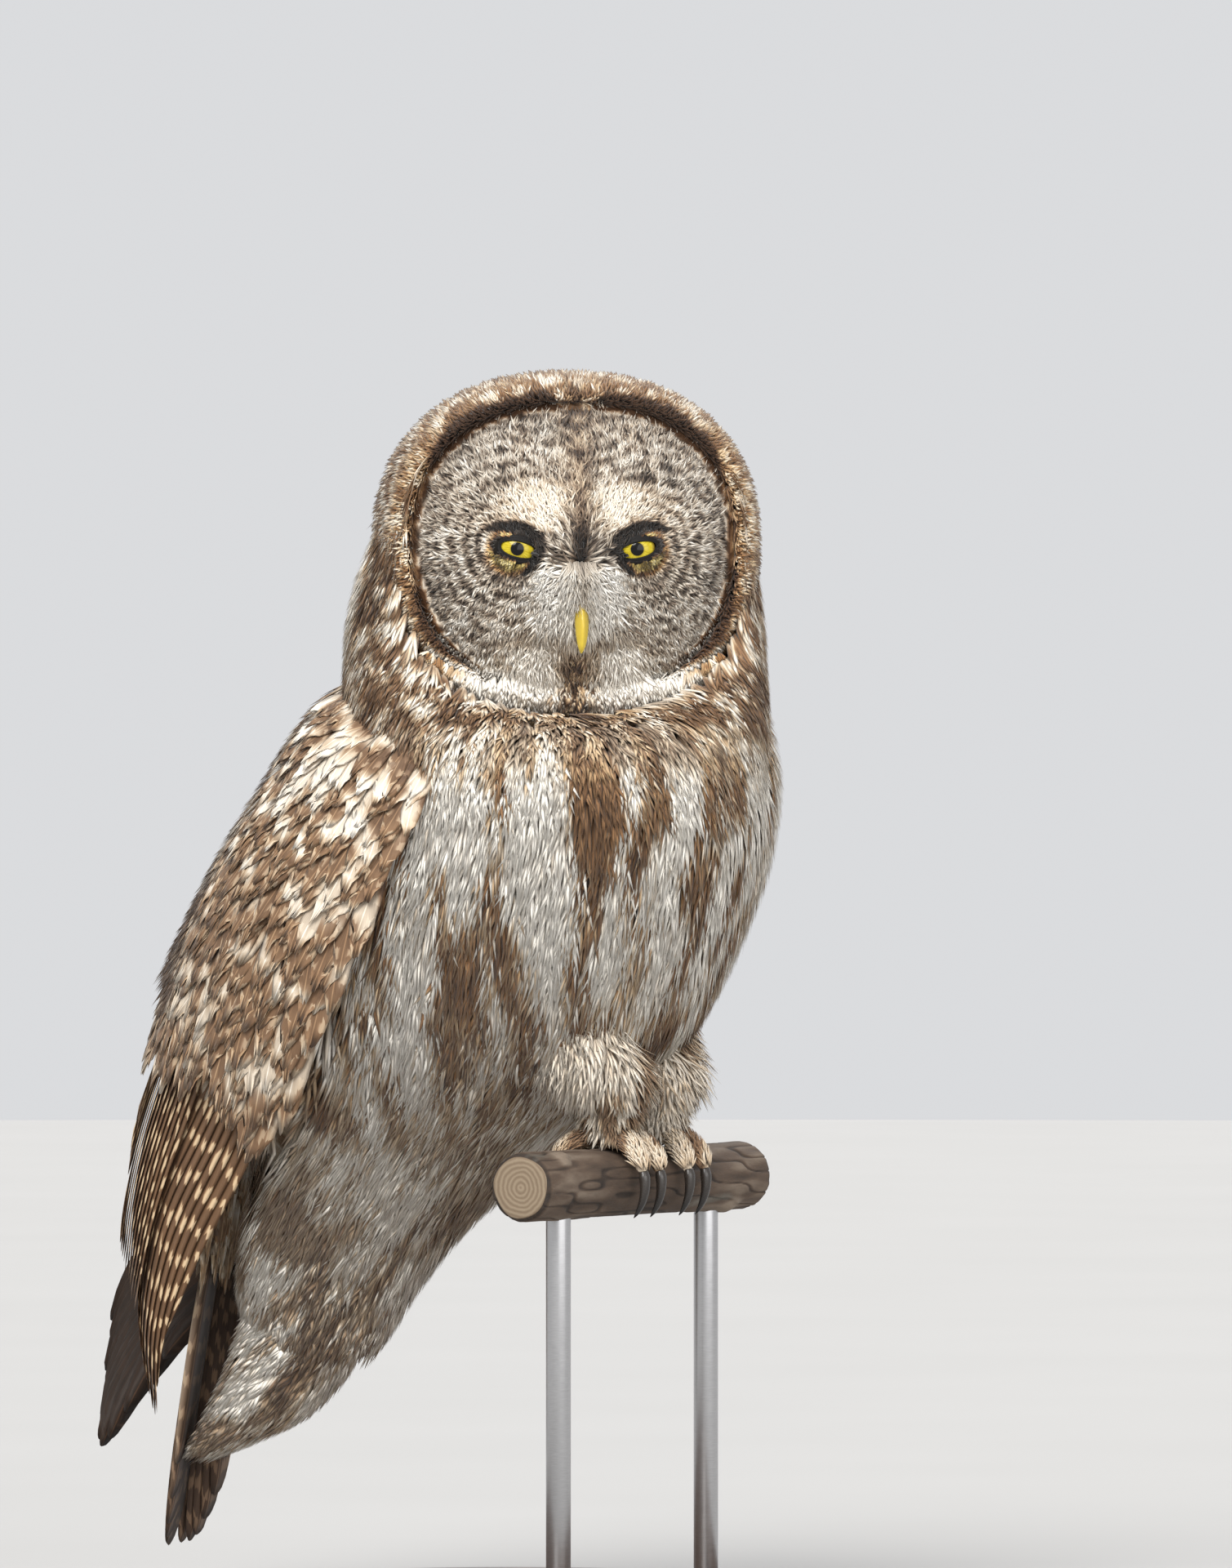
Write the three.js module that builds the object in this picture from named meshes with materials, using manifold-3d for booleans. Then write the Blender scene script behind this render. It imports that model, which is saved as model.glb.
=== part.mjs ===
// Great grey owl, life size, perched with its head turned to its right, on a short cut branch.
// The branch is carried by two rods on a flat round base.
// Millimetres, +Z up. The breast faces -Y, so the owl's right side is -X.
// The origin lies under the middle of the base. Inside the owl, Y is measured from the branch's axis.

import * as THREE from 'three';
import Module from 'manifold-3d';

const wasm = await Module();
wasm.setup();

// Driving dimensions

const BASE_RADIUS = 150;
const BASE_THICKNESS = 18;
const BASE_EDGE = 3;
const ROD_RADIUS = 6;
const ROD_SPACING = 144;

const PERCH_Y = -70;
const PERCH_HEIGHT = 217;
const PERCH_RADIUS = 17;
const PERCH_LENGTH = 216;
const PERCH_TOP = PERCH_HEIGHT + PERCH_RADIUS;

const TOUCH_GAP = 0.3;

const HEAD_TURN_DEG = -53.5;
const HEAD_CENTRE = new THREE.Vector3(-6, 33.5, 528);
const HEAD_HALF_WIDTH = 95;
const HEAD_TOP = 84;
const HEAD_BOTTOM = 86;
const HEAD_BACK_DEPTH = 76;
const HEAD_BACK_START = -4;
const HEAD_SQUARENESS = 2.25;
const DISC_HALF_WIDTH = 76;
const DISC_TOP = 64;
const DISC_BOTTOM = 72;
const DISC_SQUARENESS = 2.3;
const DISC_RIM_DEPTH = 39;
const DISC_RIM_SWEEP = 13;
const FACE_FRONT = 60;

const EYE_SPACING = 58.4;
const EYE_RADIUS = 12.5;
const EYE_HEIGHT = -4;
const EYE_DEPTH = 40;
const LID_THICKNESS = 2.4;
const LID_OPENING_WIDTH = 19;
const LID_OPENING_HEIGHT = 10;
const LID_SLANT = 1.4;
const NOSTRIL_RADIUS = 1.3;

const FOOT_SPREAD = 23;
const TOE_RADIUS = 6.2;
const CLAW_RADIUS = 3.2;
const ANKLE_RADIUS = 9.5;
const LEG_BOTTOM = 249;

const TAIL_HALF_WIDTH = 33;
const TAIL_ARCH = 3;
const WING_LAYER = 1.3;
const VANE_THICKNESS = 0.8;

const HEAD_SIDES = 36;
const BODY_SIDES = 36;

// Small helpers

const mix = THREE.MathUtils.lerp;
const smooth = THREE.MathUtils.smoothstep;
const radians = THREE.MathUtils.degToRad;

function point(x, y, z) {
  return new THREE.Vector3(x, y, z);
}

// Reads a table of rows, each starting with its key, at any key between the first and the last.
// Catmull-Rom weights keep the result smooth through the rows.
function readTable(rows, key) {
  const last = rows.length - 1;
  const rising = rows[last][0] > rows[0][0];
  let i = 0;
  while (i < last - 1 && (rising ? key > rows[i + 1][0] : key < rows[i + 1][0])) i += 1;
  const t = THREE.MathUtils.clamp((key - rows[i][0]) / (rows[i + 1][0] - rows[i][0]), 0, 1);
  const before = rows[Math.max(i - 1, 0)];
  const after = rows[Math.min(i + 2, last)];
  return rows[i].slice(1).map((value, column) => {
    const next = rows[i + 1][column + 1];
    const slopeIn = (next - before[column + 1]) / 2;
    const slopeOut = (after[column + 1] - value) / 2;
    const a = 2 * t ** 3 - 3 * t ** 2 + 1;
    const b = t ** 3 - 2 * t ** 2 + t;
    const c = -2 * t ** 3 + 3 * t ** 2;
    const d = t ** 3 - t ** 2;
    return a * value + b * slopeIn + c * next + d * slopeOut;
  });
}

function signedVolume(positions, triangles) {
  let sum = 0;
  for (let k = 0; k < triangles.length; k += 3) {
    const [a, b, c] = [0, 1, 2].map((n) => {
      const v = triangles[k + n] * 3;
      return point(positions[v], positions[v + 1], positions[v + 2]);
    });
    sum += a.dot(b.cross(c)) / 6;
  }
  return sum;
}

// Makes an indexed geometry whose faces point outwards.
function solidFrom(points, triangles) {
  const positions = points.flatMap((p) => [p.x, p.y, p.z]);
  let turned = triangles;
  if (signedVolume(positions, triangles) < 0) {
    turned = triangles.slice();
    for (let k = 0; k < turned.length; k += 3) {
      [turned[k + 1], turned[k + 2]] = [turned[k + 2], turned[k + 1]];
    }
  }
  const geometry = new THREE.BufferGeometry();
  geometry.setAttribute('position', new THREE.Float32BufferAttribute(positions, 3));
  geometry.setIndex(turned);
  return geometry;
}

// Joins rings of points into one closed skin. Each end closes on a point, the ring's middle by default.
function ringSolid(rings, startPoint, endPoint) {
  const count = rings[0].length;
  const middle = (ring) => ring.reduce((sum, p) => sum.add(p), point(0, 0, 0)).divideScalar(count);
  const points = rings.flat();
  points.push(startPoint ?? middle(rings[0]), endPoint ?? middle(rings[rings.length - 1]));
  const start = points.length - 2;
  const end = points.length - 1;
  const triangles = [];
  for (let j = 0; j < count; j += 1) {
    const k = (j + 1) % count;
    triangles.push(start, k, j);
    for (let i = 0; i < rings.length - 1; i += 1) {
      const a = i * count;
      const b = a + count;
      triangles.push(a + j, a + k, b + k, a + j, b + k, b + j);
    }
    const lastRing = (rings.length - 1) * count;
    triangles.push(end, lastRing + j, lastRing + k);
  }
  return solidFrom(points, triangles);
}

// Joins an upper and a lower grid of points into one closed plate, split alike on both faces.
function plateSolid(upper, lower) {
  const rows = upper.length;
  const columns = upper[0].length;
  const points = [...upper.flat(), ...lower.flat()];
  const top = (i, j) => i * columns + j;
  const under = (i, j) => rows * columns + top(i, j);
  const triangles = [];
  for (let i = 0; i < rows - 1; i += 1) {
    for (let j = 0; j < columns - 1; j += 1) {
      triangles.push(top(i, j), top(i + 1, j), top(i + 1, j + 1));
      triangles.push(top(i, j), top(i + 1, j + 1), top(i, j + 1));
      triangles.push(under(i, j), under(i + 1, j + 1), under(i + 1, j));
      triangles.push(under(i, j), under(i, j + 1), under(i + 1, j + 1));
    }
  }
  const rim = [];
  for (let i = 0; i < rows - 1; i += 1) rim.push([i, 0]);
  for (let j = 0; j < columns - 1; j += 1) rim.push([rows - 1, j]);
  for (let i = rows - 1; i > 0; i -= 1) rim.push([i, columns - 1]);
  for (let j = columns - 1; j > 0; j -= 1) rim.push([0, j]);
  rim.forEach(([i, j], n) => {
    const [k, m] = rim[(n + 1) % rim.length];
    triangles.push(top(i, j), under(k, m), top(k, m));
    triangles.push(top(i, j), under(i, j), under(k, m));
  });
  return solidFrom(points, triangles);
}

// A round body along a path, with a radius for each point of the path.
function taperedTube(path, radii, sides) {
  const curve = new THREE.CatmullRomCurve3(path);
  const steps = radii.length - 1;
  const frames = curve.computeFrenetFrames(steps, false);
  const rings = radii.map((radius, i) => {
    const centre = curve.getPoint(i / steps);
    return Array.from({ length: sides }, (_, j) => {
      const angle = (2 * Math.PI * j) / sides;
      return centre.clone()
        .addScaledVector(frames.normals[i], radius * Math.cos(angle))
        .addScaledVector(frames.binormals[i], radius * Math.sin(angle));
    });
  });
  return ringSolid(rings);
}

// Joining and cutting

function toBody(geometry) {
  return new wasm.Manifold(new wasm.Mesh({
    numProp: 3,
    vertProperties: new Float32Array(geometry.attributes.position.array),
    triVerts: new Uint32Array(geometry.index.array),
  }));
}

function bodyOf(threeGeometry) {
  const source = threeGeometry.index ? threeGeometry.toNonIndexed() : threeGeometry;
  const position = source.attributes.position;
  const places = new Map();
  const points = [];
  const triangles = [];
  for (let i = 0; i < position.count; i += 1) {
    const p = new THREE.Vector3().fromBufferAttribute(position, i);
    const key = p.toArray().map((value) => Math.round(value * 10000)).join(' ');
    if (!places.has(key)) {
      places.set(key, points.length);
      points.push(p);
    }
    triangles.push(places.get(key));
  }
  const kept = [];
  for (let k = 0; k < triangles.length; k += 3) {
    const [a, b, c] = triangles.slice(k, k + 3);
    if (a !== b && b !== c && a !== c) kept.push(a, b, c);
  }
  return toBody(solidFrom(points, kept));
}

function fuse(geometries) {
  return geometries.map(toBody).reduce((whole, body) => whole.add(body));
}

// The same skin moved outwards, used to cut what lies against it.
function inflated(geometry, gap = 1.2 * TOUCH_GAP) {
  const grown = geometry.clone();
  grown.computeVertexNormals();
  const { position, normal } = grown.attributes;
  for (let i = 0; i < position.count; i += 1) {
    const p = new THREE.Vector3().fromBufferAttribute(position, i);
    p.addScaledVector(new THREE.Vector3().fromBufferAttribute(normal, i), gap);
    position.setXYZ(i, p.x, p.y, p.z);
  }
  return toBody(grown);
}

function largest(body) {
  const pieces = body.decompose();
  return pieces.reduce((best, piece) => (piece.volume() > best.volume() ? piece : best));
}

function toGeometry(body) {
  const mesh = largest(body).getMesh();
  const geometry = new THREE.BufferGeometry();
  geometry.setAttribute('position', new THREE.Float32BufferAttribute(mesh.vertProperties, 3));
  geometry.setIndex(Array.from(mesh.triVerts));
  geometry.computeVertexNormals();
  return geometry;
}

// The head's own frame: x to the viewer's right, forward out of the face, z up

const turn = radians(HEAD_TURN_DEG);
const headRight = point(Math.cos(turn), Math.sin(turn), 0);
const headForward = point(Math.sin(turn), -Math.cos(turn), 0);

function headPoint(x, forward, z) {
  return HEAD_CENTRE.clone()
    .addScaledVector(headRight, x)
    .addScaledVector(headForward, forward)
    .add(point(0, 0, z));
}

function roundedRadius(angle, side, top, bottom, power) {
  const c = Math.abs(Math.cos(angle)) / side;
  const s = Math.abs(Math.sin(angle)) / (Math.sin(angle) > 0 ? top : bottom);
  return 1 / (c ** power + s ** power) ** (1 / power);
}

const bell = (value, width) => Math.exp(-((value / width) ** 2));

// How far the face stands forward: dished round each eye, with a ridge down the middle and brows.
function faceRelief(x, z) {
  const side = Math.abs(x);
  const ridge = 6 * bell(x, 9) * bell(z + 4, 62);
  const dish = -9 * bell(side - 33, 30) * bell(z + 8, 34);
  const brow = 4 * bell(side - 20, 15) * bell(z - 14, 11);
  const lore = 4 * bell(side - 12, 10) * bell(z + 26, 16);
  return ridge + dish + brow + lore;
}

function headGeometry() {
  const angles = Array.from({ length: HEAD_SIDES }, (_, j) => (2 * Math.PI * j) / HEAD_SIDES);
  const discEdge = (angle) => (
    roundedRadius(angle, DISC_HALF_WIDTH, DISC_TOP, DISC_BOTTOM, DISC_SQUARENESS));
  // Shares of the way from the middle of the face to the disc's edge.
  const discSteps = [0.18, 0.36, 0.54, 0.7, 0.84, 0.94, 1];
  const rimDepth = (angle) => DISC_RIM_DEPTH - DISC_RIM_SWEEP * Math.cos(angle) ** 2;
  const rings = discSteps.map((part) => angles.map((angle) => {
    const radius = part * discEdge(angle);
    const x = radius * Math.cos(angle);
    const z = radius * Math.sin(angle);
    const rim = rimDepth(angle);
    const depth = rim + (FACE_FRONT - rim) * (1 - part ** 2.4) + faceRelief(x, z) * (1 - part ** 6);
    return headPoint(x, depth, z);
  }));
  const outline = (angle) => (
    roundedRadius(angle, HEAD_HALF_WIDTH, HEAD_TOP, HEAD_BOTTOM, HEAD_SQUARENESS));
  // Shares of the way from the disc's edge to the head's outline, and how far each rises.
  const ruffSteps = [[0.3, 5], [0.6, 1], [0.84, -8], [0.96, -20]];
  ruffSteps.forEach(([part, rise]) => rings.push(angles.map((angle) => {
    const radius = mix(discEdge(angle), outline(angle), part);
    return headPoint(radius * Math.cos(angle), rimDepth(angle) + rise, radius * Math.sin(angle));
  })));
  const backSteps = 6;
  for (let k = 0; k < backSteps; k += 1) {
    const sweep = (Math.PI / 2) * (k / backSteps) * 0.98;
    rings.push(angles.map((angle) => {
      const radius = outline(angle) * Math.cos(sweep) ** 0.85;
      const depth = HEAD_BACK_START - HEAD_BACK_DEPTH * Math.sin(sweep);
      return headPoint(radius * Math.cos(angle), depth, radius * Math.sin(angle));
    }));
  }
  const nose = headPoint(0, FACE_FRONT + faceRelief(0, 0), 0);
  return ringSolid(rings, nose, headPoint(0, HEAD_BACK_START - HEAD_BACK_DEPTH, 0));
}

// A ball in the head's frame, its poles on the line of sight.
function ballGeometry(centre, radius, around, along) {
  const geometry = new THREE.SphereGeometry(radius, around, along);
  geometry.rotateX(Math.PI / 2);
  geometry.rotateZ(turn);
  geometry.translate(centre.x, centre.y, centre.z);
  return geometry;
}

function eyeCentre(side) {
  return headPoint((side * EYE_SPACING) / 2, EYE_DEPTH, EYE_HEIGHT);
}

// The almond opening between the lids, lowest at the bill, as a block that runs out of the face.
function lidOpening(side) {
  const half = LID_OPENING_WIDTH / 2;
  const rise = LID_OPENING_HEIGHT / 2;
  const steps = 7;
  const upper = Array.from({ length: steps }, (_, k) => -half + (2 * half * k) / (steps - 1));
  const arch = (x, height, sign) => {
    const part = x / half;
    return sign * height * Math.sqrt(Math.max(1 - part ** 2, 0)) - (LID_SLANT * (1 - part)) / 2;
  };
  const section = [
    ...upper.map((x) => [x, arch(x, rise * 0.85, 1)]),
    ...upper.slice(1, -1).reverse().map((x) => [x, arch(x, rise, -1)]),
  ];
  const middle = (side * EYE_SPACING) / 2;
  const rings = [EYE_DEPTH, EYE_DEPTH + 40].map((depth) => section.map(([x, z]) => (
    headPoint(middle + side * x, depth, EYE_HEIGHT + z))));
  return ringSolid(rings);
}

// Bill, drawn as bent cones from the face downwards

const UPPER_BILL = [[50, -24], [61, -31], [66.5, -42], [64, -55]];
const LOWER_BILL = [[46, -40], [54, -46], [58, -51.5]];

function billGeometry(line, radii) {
  return taperedTube(line.map(([forward, z]) => headPoint(0, forward, z)), radii, 10);
}

const UPPER_BILL_RADII = [5.5, 6, 5.8, 5.2, 4.2, 2.6, 0.6];
const LOWER_BILL_RADII = [3, 3.2, 2.8, 1.8, 0.6];

// Trunk: level sections, each with its front, back and half width

const TRUNK_SECTIONS = [
  [480, -62, 152, 108],
  [446, -64, 155, 110],
  [418, -68, 158, 112],
  [390, -67, 166, 113],
  [360, -60, 178, 112],
  [330, -48, 194, 108],
  [305, -36, 215, 102],
  [282, -22, 240, 95],
  [262, 0, 252, 86],
  [244, 26, 240, 76],
  [226, 56, 216, 66],
  [208, 78, 214, 60],
  [186, 104, 219, 52],
  [160, 126, 222, 43],
  [136, 142, 217, 33],
  [120, 156, 208, 22],
];
const TRUNK_BOTTOM = point(0, 184, 108);

// Neck: level sections in the head's frame, with their reach right, left, forward and back

const NECK_SECTIONS = [
  [418, 105, 122, 98, 128],
  [434, 103, 117, 70, 116],
  [446, 101, 114, 42, 108],
  [460, 99, 111, 26, 102],
  [474, 98, 110, 18, 98],
  [498, 96, 109, 8, 94],
  [524, 89, 106, -6, 90],
  [544, 74, 98, -16, 84],
  [560, 50, 80, -24, 70],
];
const NECK_TOP = point(12, 56, 574);
const NECK_BASE = 446;

function trunkPoint(height, angle) {
  const [front, back, half] = readTable(TRUNK_SECTIONS, height);
  const depth = (back - front) / 2;
  return point(half * Math.cos(angle), (front + back) / 2 + depth * Math.sin(angle), height);
}

// Each quarter of a neck section is a quarter of its own ellipse.
function neckPoint(height, angle) {
  const [right, left, forward, back] = readTable(NECK_SECTIONS, height);
  const local = angle - turn;
  const x = Math.cos(local) * (Math.cos(local) > 0 ? right : left);
  const y = Math.sin(local) * (Math.sin(local) > 0 ? back : forward);
  const p = headPoint(x, -y, 0);
  p.z = height;
  return p;
}

// The trunk's section turns into the neck's over these heights.
const BLEND_LOW = 410;
const BLEND_HIGH = 454;

function bodyPoint(height, angle) {
  if (height >= BLEND_HIGH) return neckPoint(height, angle);
  if (height <= BLEND_LOW) return trunkPoint(height, angle);
  return trunkPoint(height, angle).lerp(neckPoint(height, angle), smooth(height, BLEND_LOW, BLEND_HIGH));
}

function bodyRings(heights) {
  const angles = Array.from({ length: BODY_SIDES }, (_, j) => (2 * Math.PI * j) / BODY_SIDES);
  return heights.map((height) => angles.map((angle) => bodyPoint(height, angle)));
}

const TRUNK_HEIGHTS = [
  NECK_BASE, 434, 418, 396, 370, 342, 314, 290, 272, 258, 244, 228, 208, 184, 158, 136, 120,
];
const NECK_HEIGHTS = [NECK_BASE, 453, 461, 474, 492, 511, 528, 545, 560];

function trunkGeometry() {
  return ringSolid(bodyRings(TRUNK_HEIGHTS), undefined, TRUNK_BOTTOM);
}

function neckGeometry() {
  const heights = [NECK_BASE + TOUCH_GAP, ...NECK_HEIGHTS.slice(1)];
  return ringSolid(bodyRings(heights), undefined, NECK_TOP);
}

// Trunk and neck in one, to cut what lies against both.
function wholeBodyGeometry() {
  const heights = [...NECK_HEIGHTS.slice(1).reverse(), ...TRUNK_HEIGHTS];
  return ringSolid(bodyRings(heights), NECK_TOP, TRUNK_BOTTOM);
}

// Wing sheet: the edges of the folded wing from the shoulder to the tip.
// Each row holds a share of the length, then the leading edge, the trailing edge and the bulge.

const WING_RIGHT = [
  [0.0, -92, 26, 440, -44, 132, 446, 16],
  [0.125, -103, 43, 416, -41, 155, 418, 23],
  [0.25, -107, 62, 378, -35, 181, 383, 27],
  [0.375, -104, 89, 336, -27, 216, 336, 28],
  [0.5, -90, 130, 290, -18, 249, 286, 23],
  [0.625, -69, 174, 234, -12, 273, 232, 16],
  [0.75, -53, 211, 180, -10, 280, 185, 11],
  [0.875, -43, 238, 135, -8, 277, 140, 8],
  [1.0, -30, 254, 96, -3, 271, 100, 4],
];
const WING_BREAKS = [0.125, 0.25, 0.375, 0.5, 0.625, 0.75, 0.875];

// How far the left wing's tip is carried on over the tail: share of the length, then X, Y and Z.
const WING_LEFT_SWEEP = [
  [0.0, 0, 0, 0],
  [0.5, 0, 0, 0],
  [0.7, 2, 12, -4],
  [0.85, 6, 40, -10],
  [1.0, 12, 50, -18],
];

const WING_STATIONS = WING_RIGHT.map((row) => {
  const [, x0, y0, z0, x1, y1, z1, bulge] = row;
  return { share: row[0], leading: point(x0, y0, z0), trailing: point(x1, y1, z1), bulge };
});

// Frames along the wing: middle point, direction across, outward direction, half width, cross radius.
function wingFrames(swept) {
  const stations = WING_STATIONS.map(({ share, leading, trailing, bulge }) => {
    const shift = swept ? point(...readTable(WING_LEFT_SWEEP, share)) : point(0, 0, 0);
    return { leading: leading.clone().add(shift), trailing: trailing.clone().add(shift), bulge };
  });
  const middles = stations.map(({ leading, trailing }) => leading.clone().lerp(trailing, 0.5));
  return stations.map(({ leading, trailing, bulge }, i) => {
    const along = middles[Math.min(i + 1, middles.length - 1)].clone()
      .sub(middles[Math.max(i - 1, 0)]).normalize();
    const across = trailing.clone().sub(leading);
    const half = across.length() / 2;
    across.addScaledVector(along, -across.dot(along)).normalize();
    const out = along.clone().cross(across).normalize();
    if (out.x > 0) out.negate();
    const radius = (half ** 2 + bulge ** 2) / (2 * bulge);
    return { middle: middles[i], across, out, half, radius, bulge };
  });
}

// A point of the wing sheet: share of the length, distance across from the middle line, lift outwards.
// Between two stations the sheet is straight, so that all feathers bend at the same lines.
function wingPoint(frames, share, across, lift) {
  const place = THREE.MathUtils.clamp(share, 0, 1) * (frames.length - 1);
  const i = Math.min(Math.floor(place), frames.length - 2);
  const at = (frame) => {
    const angle = across / frame.radius;
    const reach = frame.radius + lift;
    return frame.middle.clone()
      .addScaledVector(frame.across, reach * Math.sin(angle))
      .addScaledVector(frame.out, reach * Math.cos(angle) - frame.radius + frame.bulge);
  };
  return at(frames[i]).lerp(at(frames[i + 1]), place - i);
}

function wingHalf(frames, share) {
  const place = THREE.MathUtils.clamp(share, 0, 1) * (frames.length - 1);
  const i = Math.min(Math.floor(place), frames.length - 2);
  return mix(frames[i].half, frames[i + 1].half, place - i);
}

// A seeded draw between -1 and 1, so that feathers differ a little and always alike.
let drawState = 20477;
function draw() {
  drawState = (drawState * 1103515245 + 12345) % 2147483648;
  return (drawState / 2147483648) * 2 - 1;
}

// One feather: a thin plate lying along a sheet from its root's share to its tip's share.
// across and lift give the middle line; incline lets its edges overlap the next feather's.
function vane(sheet, { from, to, breaks, across, lift, incline, half, round, columns = [-1, 0, 1] }) {
  const inner = breaks.filter((share) => share > from + 0.02 && share < to - round - 0.02);
  const shares = [from, ...inner, to - round, to];
  const width = (share) => {
    const part = (share - from) / (to - from);
    const base = half * mix(0.6, 1, smooth(part, 0, 0.4));
    if (share === to) return base * 0.34;
    return share === to - round ? base * 0.86 : base;
  };
  const grid = (drop) => shares.map((share) => columns.map((side) => {
    const x = across(share) + side * width(share);
    return sheet(share, x, lift(share) - incline * (x - across(share)) - drop);
  }));
  return plateSolid(grid(-VANE_THICKNESS / 2), grid(VANE_THICKNESS / 2));
}

// The wing's flesh and small feathers: top and bottom lift of the core along the sheet.
const WING_CORE = [
  [0.0, 8, -8],
  [0.06, 11, -10],
  [0.125, 12.5, -11],
  [0.25, 11.5, -9],
  [0.375, 8, -7],
  [0.5, 4.5, -4],
  [0.58, 2, -2],
];

function wingCore(frames) {
  const columns = 8;
  const grid = (column) => WING_CORE.map(([share, ...lifts]) => {
    const half = wingHalf(frames, share);
    return Array.from({ length: columns }, (_, j) => {
      const side = (2 * j) / (columns - 1) - 1;
      return wingPoint(frames, share, side * half, lifts[column] * Math.sqrt(1 - 0.9 * side ** 2));
    });
  });
  return plateSolid(grid(0), grid(1));
}

// Flight feathers, counted from the outermost primary to the innermost tertial.
const PRIMARIES = 10;
const SECONDARIES = 7;
const TERTIALS = 2;
const FLIGHTS = PRIMARIES + SECONDARIES + TERTIALS;
const PRIMARY_TIPS = [0.87, 0.945, 0.985, 1, 0.98, 0.95, 0.92, 0.89, 0.865, 0.84];
const FLIGHT_INCLINE = 0.226;
const FLIGHT_RISE = 6;
const PRIMARY_HALF = 10.5;
const SECONDARY_HALF = 12;
const TIP_ROUND = 0.022;

function flightFeathers(frames) {
  const sheet = (share, across, lift) => wingPoint(frames, share, across, lift);
  return Array.from({ length: FLIGHTS }, (_, k) => {
    const primary = k < PRIMARIES;
    const inner = (k - PRIMARIES) / (SECONDARIES + TERTIALS - 1);
    const tertial = k >= PRIMARIES + SECONDARIES;
    const rootSide = mix(-0.85, 0.9, k / (FLIGHTS - 1));
    const tipSide = primary ? mix(-0.62, 0.55, k / (PRIMARIES - 1)) : mix(0.12, 0.86, inner);
    const from = primary ? 0.44 : mix(0.4, 0.3, inner);
    const tip = primary ? PRIMARY_TIPS[k] : mix(0.84, tertial ? 0.64 : 0.74, inner);
    const to = Math.min(tip + 0.006 * draw(), 1);
    const across = (share) => (
      wingHalf(frames, share) * mix(rootSide, tipSide, smooth(share, 0.46, 0.84)));
    const lift = (share) => {
      const raised = FLIGHT_RISE * smooth(share, 0.5, 0.75);
      return raised + WING_LAYER * (k - FLIGHTS / 2) - FLIGHT_INCLINE * across(share);
    };
    return vane(sheet, {
      from,
      to,
      breaks: WING_BREAKS,
      across,
      lift,
      incline: FLIGHT_INCLINE,
      half: (primary ? PRIMARY_HALF : SECONDARY_HALF) * (1 + 0.04 * draw()),
      round: TIP_ROUND,
    });
  });
}

// Coverts and scapulars: rows that cover the roots of the feathers beyond them.
// Each row: number, first and last side, shares of root and tip, lifts at the root and beyond, half width.
const COVERT_LAYER = 2;
const COVERT_ROWS = [
  { count: 7, sides: [-0.8, 0.34], from: 0.28, to: 0.56, lifts: [6.8, 8.4], half: 12.5 },
  { count: 6, sides: [-0.72, 0.18], from: 0.14, to: 0.43, lifts: [9.3, 13.9], half: 12.5 },
  { count: 5, sides: [0.52, 0.92], from: 0.04, to: 0.56, lifts: [8.5, 13], half: 12.5 },
];

function covertRow(frames, { count, sides, from, to, lifts, half }) {
  const sheet = (share, across, lift) => wingPoint(frames, share, across, lift);
  const pitch = ((sides[1] - sides[0]) * wingHalf(frames, from + 0.1)) / (count - 1);
  const incline = COVERT_LAYER / pitch;
  return Array.from({ length: count }, (_, j) => {
    const side = mix(sides[0], sides[1], j / (count - 1));
    const across = (share) => side * wingHalf(frames, share);
    const middle = ((sides[0] + sides[1]) / 2) * wingHalf(frames, from + 0.1);
    const lift = (share) => (
      mix(lifts[0], lifts[1], smooth(share, from, from + 0.15))
      + COVERT_LAYER * (j - (count - 1) / 2) - incline * (across(share) - middle));
    return vane(sheet, {
      from,
      to: to - 0.03 * (j / count) + 0.006 * draw(),
      breaks: WING_BREAKS,
      across,
      lift,
      incline,
      half: half * (1 + 0.04 * draw()),
      round: 0.02,
      columns: [-1, 1],
    });
  });
}

function wingPieces(frames) {
  const coverts = COVERT_ROWS.flatMap((row) => covertRow(frames, row));
  return [wingCore(frames), ...flightFeathers(frames), ...coverts];
}

// Tail: middle line from the root down, with the half width of the closed fan

const TAIL_LINE = [
  [0.0, 214, 300, 20],
  [0.2, 222, 258, 24],
  [0.4, 233, 204, 27],
  [0.6, 243, 148, 30],
  [0.8, 252, 90, 32],
  [1.0, 262, 32, TAIL_HALF_WIDTH],
];

function tailPoint(share, across, lift) {
  const [y, z] = readTable(TAIL_LINE, share);
  return point(across, y + lift - TAIL_ARCH * (across / TAIL_HALF_WIDTH) ** 2, z);
}

// The fleshy end of the tail with its small coverts, from inside the rump to just past it.
function tailCore() {
  const columns = 7;
  const shares = [0, 0.15, 0.3, 0.42];
  const grid = (lifts) => shares.map((share, i) => {
    const half = readTable(TAIL_LINE, share)[2] * (i === 3 ? 0.9 : 1);
    return Array.from({ length: columns }, (_, j) => {
      const side = (2 * j) / (columns - 1) - 1;
      return tailPoint(share, side * half, lifts[i] * Math.sqrt(1 - 0.8 * side ** 2));
    });
  });
  return plateSolid(grid([8, 8, 7, 2]), grid([-10, -10, -9, -6]));
}

// Six pairs of tail feathers, the middle pair on top, and the coverts that lie on their roots.
const TAIL_PAIRS = 6;
const TAIL_LAYER = 1.25;
const TAIL_BREAKS = [0.2, 0.4, 0.6, 0.8];

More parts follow.
